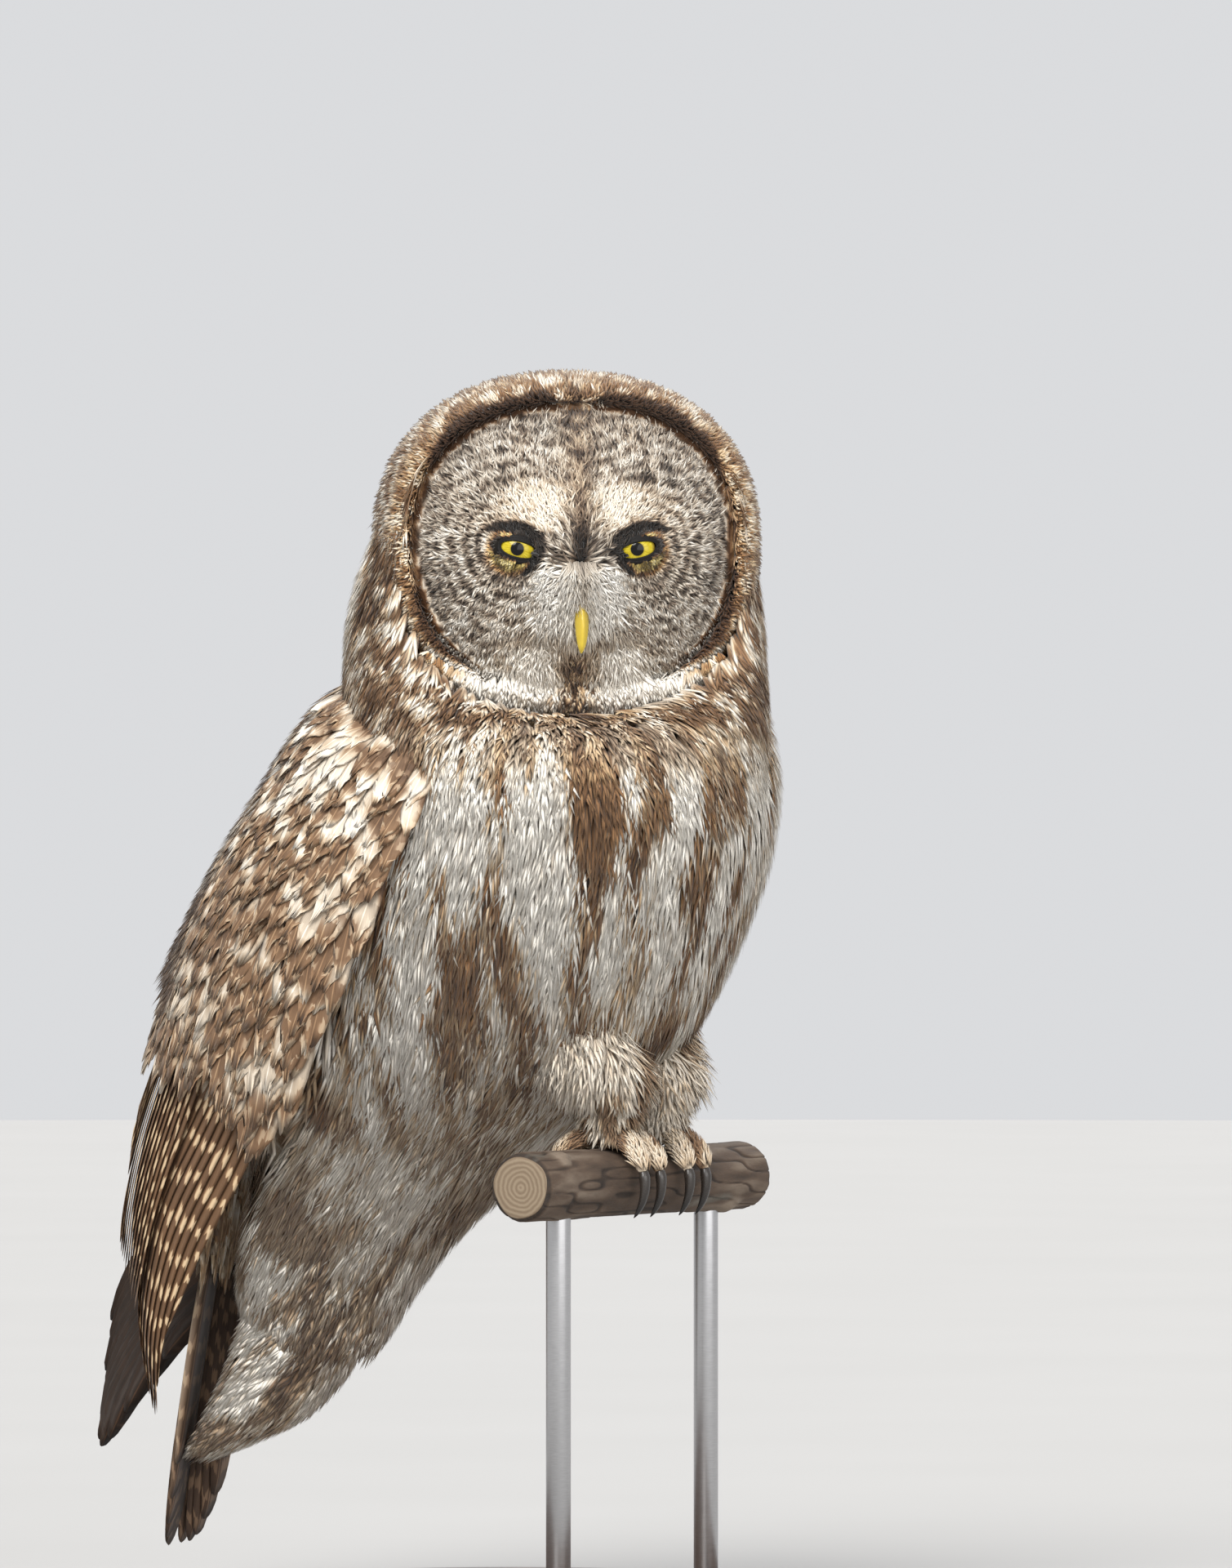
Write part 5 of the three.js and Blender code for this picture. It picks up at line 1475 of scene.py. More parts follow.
bill_look = horn_material("Bill horn", (0.42, 0.29, 0.025), (0.72, 0.54, 0.05), 0.42)
claw_look = horn_material("Claw horn", (0.030, 0.024, 0.020), (0.006, 0.005, 0.005), 0.28)
bill_piece("bill_hook", UPPER_BILL, [2.8, 3.3, 3.5, 3.4, 2.9, 1.9, 0.3], [5.0, 5.6, 5.4, 4.9, 4.0, 2.6, 0.35],
           0.28, bill_look, "bill_upper")
bill_piece("bill_under", LOWER_BILL, [3.0, 3.2, 2.8, 2.0, 0.5], [2.2, 2.3, 2.0, 1.4, 0.4],
           0.0, bill_look, "bill_lower")
for word, side in HANDS:
    for toe in TOES:
        claw_piece(word, side, toe, claw_look)

# %% [markdown]
# ## Feathers of the head
#
# The disc's feathers are hair-like. Away from the bill they spread from each eye, which is why their
# bars line up into rings; above and beside the bill they spread from the bridge and make the pale
# cross. Round the disc stand short dense feathers, and from there the crown's run back and down.

# %% Facial disc


def face_aim(points):
    """Away from the nearer eye, or from the bridge of the bill near the middle line."""
    x, _, z = head_coords(points)
    side = np.where(x < 0, -1.0, 1.0)
    ex, ez = x - side * EYE_X, z - EYE_Z
    bx, bz = x - side * 2.0, z + 12.0
    r_eye, r_bridge = np.hypot(ex, ez) + 1e-3, np.hypot(bx, bz) + 1e-3
    near = np.clip(bell(np.abs(x) - 6, 17) * (1 - smooth(r_bridge, 48, 66)) + bell(x, 9), 0, 1)
    ax, az = mix(ex / r_eye, bx / r_bridge, near), mix(ez / r_eye, bz / r_bridge, near)
    return ax[..., None] * HEAD_RIGHT + az[..., None] * UP


def face_roots(spacing):
    """Roots on the disc, clear of the eyes and of the bill."""
    s, t = rows_of_roots(face_sheet, spacing)
    x, _, z = head_coords(face_sheet.at(s, t)[0])
    ex, ez = np.abs(x) - EYE_X, z - EYE_Z
    keep = np.hypot(x, z) < disc_edge(np.arctan2(z, x)) * 0.985
    keep &= (ex / 9.4) ** 2 + ((ez - 0.18 * ex) / 5.0) ** 2 > 1
    keep &= ~((np.abs(x) < 3.6) & (z < -30) & (z > -60))
    return s[keep], t[keep], x[keep], z[keep]


def face_coat():
    """The disc's tufts in two halves, markings read at every point of every lock."""
    s, t, x, z = face_roots(2.2)
    r_eye = np.hypot(np.abs(x) - EYE_X, z - EYE_Z)
    length = 7.5 + 5.5 * smooth(r_eye, 11, 30) + 5.0 * bell(np.hypot(x, z + 12) - 16, 20)
    length = length * mix(0.45, 1.0, smooth(r_eye, 7, 13))
    edge = disc_edge(np.arctan2(z, x)) - np.hypot(x, z)
    depth = mix(1.6, FACE_COAT + 0.6, smooth(r_eye, 9, 22))
    lift = mix(1.0, 2.1, smooth(r_eye, 9, 20)) + 3.6 * (1 - smooth(edge, 0, 9)) * rng.uniform(0.2, 1.0,
                                                                                              len(s))
    # The tufts beside and under the bill are longer and stand out.
    chin = bell(np.abs(x) - 19, 14) * bell(z + 55, 8)
    lore = bell(np.abs(x) - 15, 10) * bell(z + 34, 9)
    length = length + 5.0 * chin + 3.0 * lore
    lift = lift + 6.0 * chin + 4.0 * lore
    for word, half in (("right", x < 0), ("left", x >= 0)):
        lot = locks(face_sheet, s[half], t[half], face_aim, length[half], 1.7, depth[half], count=3,
                    spread=0.46, ruffle=0.34, tip_lift=lift[half], thickness=0.28)
        lx, _, lz = head_coords(mix(lot["root"], lot["points"], 0.8))
        tone, warmth = face_marks(lx, lz)
        # Painted shade: each lock darkens towards its root, where it lies under the others, less so on white
        # feathers, and is a little paler at its tip.
        white = smooth(tone, 0.76, 0.92)
        tone = tone * mix(mix(0.68, 0.88, white), 1.10, lot["along"])
        tone = tone + mix(0.20, 0.08, white) * (lot["own"] - 0.5)
        coat(f"disc_feathers_{word}", lot, tone, warmth, face_material, "face")


def bristle_aim(points):
    """Down along the bill and a little in over its sides."""
    x = head_coords(points)[0]
    return -UP - (0.22 * np.sign(x) * smooth(np.abs(x), 1.0, 6.0))[..., None] * HEAD_RIGHT


def bristle_coat():
    """Hair-like plumes from the bridge that half hide the bill's base and sides."""
    number = 820
    side = rng.uniform(0.3, 9.5, number)
    z = rng.uniform(-44, -10, number)
    keep = side > mix(0.0, 2.9, smooth(-z, 24, 33))
    side, z = side[keep], z[keep]
    x = side * rng.choice([-1.0, 1.0], len(side))
    s, t = (FACE_TOP - z) / FACE_TALL, (x - FACE_LEFT) / FACE_WIDE
    over = 8.0 * (1 - smooth(side, 4.5, 9.5)) + 1.5
    lot = locks(face_sheet, s, t, bristle_aim, rng.uniform(9, 15, len(s)), 1.2, 2.0, count=3,
                spread=0.22, ruffle=0.16, tip_lift=over, thickness=0.25)
    x, _, z = head_coords(mix(lot["root"], lot["points"], 0.4))
    tone, warmth = face_marks(x, np.minimum(z, -20))
    # The last factor is painted shade: each lock darker towards its root, paler at its tip.
    tone = mix(tone, 0.84, 0.5 * smooth(z, -57, -45)) * mix(0.7, 1.08, lot["along"])
    coat("bill_bristles", lot, tone, warmth, face_material, "face")


face_coat()
bristle_coat()

# %% Ruff and crown


def crown_aim(points):
    """Outwards at the disc's edge, then back over the crown and down the sides and nape."""
    x, forward, z = head_coords(points)
    r = np.hypot(x, z) + 1e-3
    outward = (x / r)[..., None] * HEAD_RIGHT + (z / r)[..., None] * UP
    away = smooth(-forward, -34, 4)[..., None]
    fall = mix(0.75, 0.10, smooth(z, 10, 80))[..., None]
    return mix(0.9 * outward - 0.30 * HEAD_FORWARD, -HEAD_FORWARD, away) - fall * away * UP - 0.15 * UP


def rim_coat():
    """Short dense tufts in the dark and golden bands round the disc."""
    s, t = rows_of_roots(crown_sheet, 2.7)
    s, t = s[s < 0.27], t[s < 0.27]
    x, _, z = head_coords(crown_sheet.at(s, t)[0])
    bow = bow_share(x, z)
    length = (8.0 + 3.5 * smooth(s, 0.05, 0.25)) * rng.uniform(0.8, 1.15, len(s)) * mix(1.0, 1.35, bow)
    lot = locks(crown_sheet, s, t, crown_aim, length, 1.7, mix(3.4, 5.0, smooth(s, 0, 0.25)), count=3,
                spread=0.42, ruffle=0.24, tip_lift=2.2 + 1.5 * bow, thickness=0.32)
    root_out = out_of_disc(lot["root"])
    tip_out = np.maximum(out_of_disc(lot["points"]), 0.0)
    tone, warmth = ruff_marks(mix(lot["root"], lot["points"], 0.5), mix(root_out, tip_out, 0.55))
    # The factor on tone is painted shade: each lock darker towards its root, paler at its tip.
    coat("rim_feathers", lot, tone * mix(0.72, 1.08, lot["along"]), warmth, ruff_material, "plumage")


def crown_coat():
    """Tufts from the ruff over crown, cheeks and nape, longer and broader further back."""
    s, t = rows_of_roots(crown_sheet, 4.8)
    s, t = s[s > 0.17], t[s > 0.17]
    length = mix(11.5, 26.0, smooth(s, 0.17, 0.7))
    depth = mix(5.0, CROWN_COAT, smooth(s, 0.15, 0.5))
    x = head_coords(crown_sheet.at(s, t)[0])[0]
    for word, half in (("right", x < 0), ("left", x >= 0)):
        width = mix(2.1, 3.3, smooth(s[half], 0.2, 0.5))
        lot = locks(crown_sheet, s[half], t[half], crown_aim, length[half], width, depth[half],
                    ruffle=0.16, tip_lift=2.0)
        at = mix(lot["root"], lot["points"], 0.45)
        tone, warmth = ruff_marks(at, out_of_disc(at))
        bars = 0.5 + 0.5 * np.cos(2 * np.pi * (1.6 * lot["along"] + lot["own"]))
        tone = tone + 0.16 * (bars - 0.5) * smooth(lot["along"], 0.2, 0.5)
        # The factor on tone is painted shade: each lock darker towards its root, paler at its tip.
        coat(f"head_feathers_{word}", lot, tone * mix(0.72, 1.05, lot["along"]), warmth, ruff_material, "plumage")


rim_coat()
crown_coat()

# %% Bow under the disc
BOW_HALF = 78.0


def bow_surface(v, x):
    """From inside the disc's lower edge (v 0) down over rim and ruff to the bow's lower edge (v 1)."""
    v, x = np.broadcast_arrays(np.asarray(v, float), np.asarray(x, float))
    top, bottom = np.moveaxis(read_table(BOW_EDGES, np.abs(x)), -1, 0)
    taper = smooth(np.abs(x), 44, 78)
    z = mix(top + mix(5.0, 1.0, taper), bottom - mix(7.0, -2.0, taper), v)
    angle = np.arctan2(z, x)
    edge = disc_edge(angle)
    part = (np.hypot(x, z) - edge) / (head_outline(angle) - edge)
    over = rim_depth(angle) + np.interp(part, [0.0, 0.3, 0.6, 1.0, 1.3], [4.0, 7.0, 6.0, 2.5, 0.0])
    return head_point(x, mix(np.maximum(face_depth(x, z), over), over, smooth(part, -0.2, 0.1)), z)


def bow_aim(points):
    """Down, and a little out to the side."""
    return -UP + (0.004 * head_coords(points)[0])[..., None] * HEAD_RIGHT


def bow_coat():
    """Long white feathers that hang from the disc's lower edge over rim and throat, parted by the bib."""
    down, across = np.linspace(0, 1, 25)[:, None], np.linspace(-BOW_HALF, BOW_HALF, 105)[None, :]
    sheet = Sheet(bow_surface(down, across), HEAD_CENTRE)
    s, t = rows_of_roots(sheet, 2.8)
    x = (t - 0.5) * 2 * BOW_HALF
    keep = (np.abs(x) < 73) & (s < 0.84)
    s, t, x = s[keep], t[keep], x[keep]
    taper = smooth(np.abs(x), 40, 74)
    length = mix(17.0, 8.0, taper) * rng.uniform(0.7, 1.2, len(s))
    lot = locks(sheet, s, t, bow_aim, length, mix(2.5, 1.7, taper), 2.6, spread=0.26, ruffle=0.18,
                tip_lift=1.2, thickness=0.25)
    at = mix(lot["root"], lot["points"], 0.7)
    grey = blotch(at, (4, 4, 9), 0.5, 0.7, 27) * smooth(lot["s"] + 0.4 * lot["along"], 0.7, 1.1)
    tone, warmth = mix(1.0, 0.66, grey) - 0.05 * lot["own"], 0.20 + 0.3 * grey
    side = head_coords(lot["root"])[0]
    ends = smooth(np.abs(side), 48, 70)
    fleck = blotch(at, (2.6, 2.6, 3.4), 0.42, 0.58, 28)
    tone, warmth = mix(tone, mix(0.50, 0.96, fleck), ends), mix(warmth, mix(1.0, 0.6, fleck), ends)
    bib = bell(side + 0.5, 6.4)
    dark = 0.20 + 0.55 * blotch(at, (2.4, 2.4, 5.0), 0.48, 0.60, 28)
    # The last factor is painted shade, darker towards each lock's root.
    tone = mix(tone, dark, np.clip(1.3 * bib, 0, 1)) * mix(0.92, 1.0, lot["along"])
    coat("bow_feathers", lot, tone, mix(warmth, 0.7, bib), face_material, "face")


bow_coat()

# %% [markdown]
# ## Feathers of the body
#
# Breast and belly have long soft feathers with a brown middle streak and pale, loose sides. They hang
# down and a little back. Tufts that would start inside the head or under a wing are left out.

# %% Body
THROAT_CENTRE = np.array([-8.0, 45.0])


def inside_head(points, margin=0.93):
    """True where a point lies well inside the head's envelope."""
    x, forward, z = head_coords(points)
    angle = np.arctan2(z, x)
    part = np.hypot(x, z) / head_outline(angle)
    behind = np.clip(-(forward + 4) / HEAD_BACK, 0, 2)
    return (part**2 + behind**2 < margin**2) & ~(forward > rim_depth(angle) - 4)


def beneath(points, places, closest, furthest, beside=9.0):
    """True where a point lies under one of a sheet's places, by a distance between the two given."""
    places = places.reshape(-1, 12)
    hidden = np.zeros(len(points), bool)
    for block in np.array_split(np.arange(len(points)), 16):
        away = points[block, None] - places[None, :, :3]
        near = np.argmin(np.sum(away**2, -1), axis=1)
        gap = away[np.arange(len(block)), near]
        out = places[near, 3:6]
        depth = -np.sum(gap * out, -1)
        aside = np.linalg.norm(gap + depth[:, None] * out, axis=-1)
        hidden[block] = (aside < beside) & (depth > closest) & (depth < furthest)
    return hidden


def covered(points):
    """True under the wings, the scapulars and the collar."""
    hidden = beneath(points, collar_sheet.fields[1:25:2, 1:-1:3], -12, 30, 8.0)
    for sheet in scapular_sheets.values():
        hidden |= beneath(points, sheet.fields[2:-6:2, 2:-4:2], 1, 45)
    for sheet in wing_sheets.values():
        hidden |= beneath(points, sheet.fields[: int(0.62 * sheet.rows): 3, 9:-9:3], 5, 60)
    return hidden


def body_aim(points):
    """Down, and a little back, more so under the belly."""
    low = 1 - smooth(points[..., 2], 220, 300)
    return -UP + (0.16 + 0.5 * low)[..., None] * Y_AXIS


def collar_aim(points):
    """Down and away from the neck's middle."""
    away = unit(points[..., :2] - THROAT_CENTRE)
    return np.concatenate([0.8 * away, -np.ones_like(away[..., :1])], -1)


def soft_coat(name, lot):
    """Colours a lot of soft tufts: the marks of its place, a dark shaft streak, and painted shade that darkens
    each lock towards its root and leaves its tip paler.
    """
    at = mix(lot["root"], lot["points"], 0.55)
    _, forward, z = head_coords(at)
    near_head = smooth(z, -90, -82) * smooth(forward, 0, 14)
    tone, warmth = (mix(body, ruff, near_head)
                    for body, ruff in zip(body_marks(at), ruff_marks(at, out_of_disc(at) + 6)))
    shaft = bell(lot["across"] - 0.5, 0.22) * (lot["own"] > 0.35)
    streak = 0.20 * shaft * smooth(lot["along"], 0.1, 0.5) * (0.5 + noise(lot["root"], 16, 61))
    white = smooth(tone, 0.72, 0.90)
    tone = tone - streak * (1 - 0.5 * white) + 0.05 * (lot["own"] - 0.5)
    # Painted shade: darker towards each lock's root, where it lies under the others, less so on white; a little
    # paler at the tip.
    tone = tone * mix(mix(0.82, 0.95, white), 1.06, lot["along"])
    coat(name, lot, tone, warmth + 0.25 * streak, soft_material, "plumage")


def trunk_coat():
    """Soft tufts over neck, breast, belly, flanks and back."""
    s, t = rows_of_roots(body_sheet, 6.6)
    root = body_sheet.at(s, t)[0]
    keep = (root[:, 2] < 552) & (root[:, 2] > 140) & ~inside_head(root) & ~covered(root)
    s, t, (x, y, height) = s[keep], t[keep], root[keep].T
    length = np.interp(height, [140, 160, 240, 330, 420, 480, 552], [26, 38, 56, 58, 50, 32, 24])
    width = np.interp(height, [140, 300, 420, 520], [3.2, 3.3, 2.9, 2.8])
    depth = body_coat_depth(height)
    back = (y > 120) & (height > 190)
    low = (height < 300) & ~back
    breast = ~back & ~low
    parts = {"breast_feathers_right": breast & (x < 0), "breast_feathers_left": breast & (x >= 0),
             "belly_feathers": low, "back_feathers": back}
    for name, part in parts.items():
        soft_coat(name, locks(body_sheet, s[part], t[part], body_aim, length[part], width[part], depth[part],
                              count=5, spread=0.21, ruffle=0.10, tip_lift=1.0, thickness=0.35))


def collar_coat():
    """Tufts of the collar, left out under the right wing's bend."""
    s, t = rows_of_roots(collar_sheet, 5.2)
    keep = ~beneath(collar_sheet.at(s, t)[0], wing_sheets["right"].fields[:40:3, 9:-9:3], 3, 60)
    keep &= s < 0.80 + 0.14 * (rng.random(len(s)) - 0.5)
    s, t = s[keep], t[keep]
    soft_coat("collar_feathers", locks(
        collar_sheet, s, t, collar_aim, mix(26.0, 42.0, s), mix(2.4, 3.0, s), mix(4.0, 11.0, s),
        count=5, spread=0.20, tip_lift=1.2, thickness=0.4))


def undertail_coat():
    """Long tufts on the lower side of the wedge under the tail."""
    s, t = rows_of_roots(undertail_sheet, 6.4)
    keep = (s < 0.88) & (np.sin(2 * np.pi * t) * UNDERTAIL_DOWN > -0.55)
    s, t = s[keep], t[keep]
    soft_coat("undertail_feathers", locks(
        undertail_sheet, s, t, np.array([0.0, 0.7, -0.7]), mix(38.0, 27.0, s), mix(3.8, 3.2, s),
        mix(9.0, 4.0, s), count=5, spread=0.18, ruffle=0.11, tip_lift=1.2))


trunk_coat()
collar_coat()
undertail_coat()

# %% [markdown]
# ## Wings
#
# A folded wing shows its flight feathers side by side like a closed fan, and rows of coverts over
# their roots. Flight feathers are firm vanes on paths of their own over the wing sheet, each a little
# higher than the next and tilted so that its edge slides over its neighbour. Bars are counted along
# each vane and drawn by the material.

# %% Flight feathers
PRIMARIES, SECONDARIES, TERTIALS = 10, 11, 4
FLIGHTS = PRIMARIES + SECONDARIES + TERTIALS
FLIGHT_LAYER, FLIGHT_INCLINE, FLIGHT_RISE = 1.02, 0.226, 6.0
PRIMARY_TIPS = np.array([0.87, 0.945, 0.985, 1.0, 0.985, 0.955, 0.925, 0.90, 0.875, 0.85])
FLIGHT_SHAPE = (0.55, 0.8, 0.95, 1.0, 1.0, 0.98, 0.92, 0.8, 0.42)


def path_vanes(sheet, s, t, half, lifts, incline, shape, camber=0.02):
    """Vanes on given paths: s and t hold one row of places for each feather, lifts one row of heights."""
    total, rows = s.shape
    points, normals, _, dt = sheet.at(s, t)
    heading = unit(np.gradient(points, axis=1))
    sides = np.cross(normals, heading)
    sides *= np.sign(np.sum(sides * dt, -1, keepdims=True))
    f, side = np.linspace(0, 1, rows), np.linspace(-1, 1, 9)[None, None, :]
    width = half[:, None] * np.interp(f, np.linspace(0, 1, len(shape)), shape)[None]
    half, f = half[:, None, None], f[None, :, None]
    back = -((1 - np.sqrt(1 - 0.86 * side**2)) * f**10) * half * 1.5
    back = back + 0.02 * half * rng.normal(0, 1, (total, 1, 9)) * f**8
    edge = width[:, :, None] * side
    rise = lifts[:, :, None] + camber * half * 2 * (1 - side**2) - incline * edge
    return vane_lot(points, normals, sides, heading, edge, rise, back, 0.7,
                    own=rng.random(total), s=s[:, 0], t=t[:, 0], number=np.arange(total))


def flight_feathers(word):
    """Primaries, secondaries and tertials, counted from the outermost primary inwards."""
    k = np.arange(FLIGHTS)
    primary = k < PRIMARIES
    inner = np.clip((k - PRIMARIES) / (SECONDARIES + TERTIALS - 1), 0, 1)
    root_side = mix(-0.85, 0.9, k / (FLIGHTS - 1))
    tip_side = np.where(primary, mix(-0.66, 0.55, k / (PRIMARIES - 1)), mix(0.12, 0.86, inner))
    start = np.where(primary, 0.42, mix(0.40, 0.28, inner))
    tertial_tip = np.where(k >= PRIMARIES + SECONDARIES, 0.66, 0.74)
    tip = np.where(primary, np.resize(PRIMARY_TIPS, FLIGHTS), mix(0.84, tertial_tip, inner))
    tip = tip + 0.006 * rng.uniform(-1, 1, FLIGHTS)
    share = mix(start[:, None], np.minimum(tip, 1.0)[:, None], np.linspace(0, 1, 26)[None])
    side = mix(root_side[:, None], tip_side[:, None], smooth(share, 0.46, 0.84))
    across = side * np.interp(share, np.linspace(0, 1, len(wing_halves[word])), wing_halves[word])
    lifts = (FLIGHT_RISE * smooth(share, 0.5, 0.75) + FLIGHT_LAYER * (k - FLIGHTS / 2)[:, None]
             - FLIGHT_INCLINE * across)
    half = np.where(primary, 10.0, 11.0) * rng.uniform(0.96, 1.04, FLIGHTS)
    return path_vanes(wing_sheets[word], share, 0.5 + 0.5 * side / WING_REACH, half, lifts, FLIGHT_INCLINE,
                      FLIGHT_SHAPE)


def flight_piece(word):
    """The flight feathers with pale bars; the left wing's tip, where it shows past the tail, is painted near
    black as shade.
    """
    lot = flight_feathers(word)
    inner = smooth(lot["number"], PRIMARIES - 1, FLIGHTS - 1)
    innermost = smooth(lot["number"], PRIMARIES + 5, FLIGHTS - 2)
    tone = 0.31 + 0.07 * noise(lot["points"], (14, 14, 30), 71) - 0.06 * (lot["across"] > 0.5)
    tone = tone + 0.17 * innermost
    pale = np.where(lot["across"] < 0.5, 1.0, 0.55) * smooth(lot["along"], 0.0, 0.1)
    # Painted shade: the far wing's tip is darkened to near black and its bars put out, as it lies in shadow.
    if word == "left":
        end = smooth(lot["along"], 0.55, 0.72) * (1 - inner)
        tone, pale = mix(tone, 0.05, end), pale * (1 - 0.95 * end)
    bar = lot["along"] * mix(210.0, 150.0, inner) / 19.0 + 0.8 * lot["own"]
    coat(f"flight_feathers_{word}", lot, tone, 0.86 - 0.46 * innermost, flight_material, "wing",
         [f"wing_{word}"], pale=pale, bar=bar + 0.5 * noise(lot["points"], (9, 9, 22), 74))


print("flight feathers on each wing:", FLIGHTS)

# %% Coverts and scapulars


def covert_feathers(word):
    """Shingled vanes from the shoulder to the roots of the flight feathers, longer further down."""
    sheet = wing_sheets[word]
    s, t = rows_of_roots(sheet, 6.9, jitter=0.34)
    side = (t - 0.5) * 2 * WING_REACH
    keep = (np.abs(side) < 0.97) & (s < mix(0.44, 0.50, smooth(side, -0.6, 0.8)))
    keep &= (side < 0.55) | (s > 0.36)
    s, t, side = s[keep], t[keep], side[keep]
    length = np.interp(s, [0.0, 0.12, 0.3, 0.5], [22, 30, 46, 58]) * rng.uniform(0.92, 1.08, len(s))
    width = np.interp(s, [0.0, 0.2, 0.5], [10, 13, 17])
    over = np.interp(s, [0.0, 0.06, 0.2, 0.35, 0.5], [9, 13.5, 13.5, 12.5, 10.5])
    over = over * np.sqrt(1 - 0.55 * side**2)
    f = np.linspace(0, 1, 6)[None, :]
    floor = np.interp(s[:, None] + f * (length / 400)[:, None], [0.0, 0.5, 0.7], [0.0, 4.0, 8.0])
    lifts = mix(over[:, None] * 0.45, np.maximum(over[:, None], floor), f**0.8)
    lifts = lifts + rng.uniform(-0.5, 0.5, len(s))[:, None]
    down = unit(sheet.fields[-1, 24, :3] - sheet.fields[0, 24, :3])
    return vanes(sheet, s, t, down, length, width, lifts, columns=7, ruffle=0.14, tip_lift=0.2, camber=0.05,
                 thickness=0.3, ragged=0.13, shape=(0.5, 0.85, 1.0, 1.0, 0.82, 0.36))


def covert_piece(word):
    """Mottled coverts with pale edges, barred towards the wing's trailing edge."""
    lot = covert_feathers(word)
    tone, warmth = wing_marks(mix(lot["root"], lot["points"], 0.6))
    trailing = smooth((lot["t"] - 0.5) * 2 * WING_REACH, 0.35, 0.8)
    # The factor on tone is painted shade: darker towards the root, where each covert lies under the next.
    tone = tone * mix(0.70, 1.06, lot["along"]) + 0.10 * trailing
    edge = smooth(np.abs(lot["across"] - 0.5), 0.30, 0.5) * smooth(lot["along"], 0.35, 0.8)
    tone = mix(tone, 0.82, 0.55 * edge * noise(lot["root"], 20, 72))
    coat(f"coverts_{word}", lot, tone, mix(warmth, 0.28, trailing), covert_material, "wing",
         pale=mix(0.45, 0.9, trailing) * smooth(lot["along"], 0.25, 0.5),
         bar=lot["along"] * mix(3.2, 6.0, trailing) + lot["own"])


def scapular_coat(word):
    """Soft mottled feathers from the shoulder that close the gap between wing and back."""
    s, t = rows_of_roots(scapular_sheets[word], 6.6)
    s, t = s[s < 0.93], t[s < 0.93]
    down = unit(wing_sheets[word].fields[48, 30, :3] - wing_sheets[word].fields[0, 30, :3])
    lot = locks(scapular_sheets[word], s, t, down, mix(30.0, 44.0, s), 5.0, mix(7.0, 9.0, s), count=5,
                spread=0.22, ruffle=0.14, tip_lift=1.4)
    at = mix(lot["root"], lot["points"], 0.5)
    inner = smooth(lot["t"], 0.5, 0.9)
    tone, warmth = (mix(wing, back, inner) for wing, back in zip(wing_marks(at), body_marks(at)))
    bars = 0.5 + 0.5 * np.cos(2 * np.pi * (3.0 * lot["along"] + lot["own"]))
    # The last factor is painted shade, darker towards each lock's root.
    tone = (tone + 0.14 * (bars - 0.5)) * mix(0.76, 1.04, lot["along"])
    coat(f"scapulars_{word}", lot, tone, warmth, soft_material, "wing")


for word in ("right", "left"):
    flight_piece(word)
    covert_piece(word)
    scapular_coat(word)

# %% [markdown]
# ## Tail
#
# Six pairs of long feathers hang closed, the middle pair on top, with barred coverts over their roots.

# %% Tail
TAIL_PAIRS, TAIL_LAYER = 6, 1.25


def tail_feathers():
    """Twelve feathers, each pair a layer below the one before, the outer ones paler."""
    pair = np.repeat(np.arange(TAIL_PAIRS), 2)
    hand = np.tile([-1.0, 1.0], TAIL_PAIRS)
    tip = 1 - 0.006 * pair**2 - 0.004 * rng.random(2 * TAIL_PAIRS)
    share = mix(0.2, tip[:, None], np.linspace(0, 1, 26)[None])
    x = hand[:, None] * mix((1.5 + 2.2 * pair)[:, None], (7 + 3.4 * pair)[:, None], smooth(share, 0.15, 0.95))
    side = x / np.interp(share, np.linspace(0, 1, len(tail_half)), tail_half)
    lifts = (np.where((pair == 0) & (hand > 0), TAIL_LAYER, 0.0) - TAIL_LAYER * pair)[:, None]
    lot = path_vanes(tail_sheet, share, 0.5 + 0.5 * side / TAIL_REACH, np.full(2 * TAIL_PAIRS, 10.2), lifts,
                     0.0, (0.6, 0.85, 1.0, 1.0, 1.0, 1.0, 0.95, 0.6), camber=0.03)
    number, across = lot["number"], lot["across"]
    outer = smooth(pair[number], 3.0, 5.0) * (np.where(hand[number] > 0, across, 1 - across) > 0.55)
    # Dark brown ground, the feathers' own colour deepened by painted shade, with paler outer webs on the outer
    # pairs.
    tone = 0.17 + 0.06 * noise(lot["points"], (9, 9, 30), 81) + 0.36 * outer
    coat("tail_feathers", lot, tone, 0.62 - 0.3 * outer, tail_material, "wing", ["tail"],
         pale=0.35 + 0.5 * outer, bar=lot["along"] * 11.0 + 0.4 * lot["own"])


def tail_coverts():
    """Coverts over and under the roots of the tail feathers, as one lot."""
    s, t = rows_of_roots(tail_sheet, 8.0)
    keep = (s > 0.06) & (s < 0.36) & (np.abs(t - 0.5) * 2 * TAIL_REACH < 0.95)
    s, t = s[keep], t[keep]
    lots = []
    for face, reach in ((1.0, 1.0), (-1.0, 1.12)):
        lifts = face * mix(4.0, 8.0, np.linspace(0, 1, 6)[None, :] ** 0.7)
        length = mix(34.0, 52.0, s / 0.36) * reach
        lots.append(vanes(tail_sheet, s, t, -UP, length, 15.0, lifts, camber=0.08 * face))
    lot = joined(lots)
    tone, warmth = wing_marks(lot["points"])
    coat("tail_coverts", lot, tone + 0.14, warmth, covert_material, "wing",
         pale=0.7, bar=lot["along"] * 4.0 + lot["own"])


tail_feathers()
tail_coverts()

# %% [markdown]
# ## Legs and toes
#
# The legs are hidden in loose fluff, and even the toes are feathered down to the claws.

# %% Legs and toes


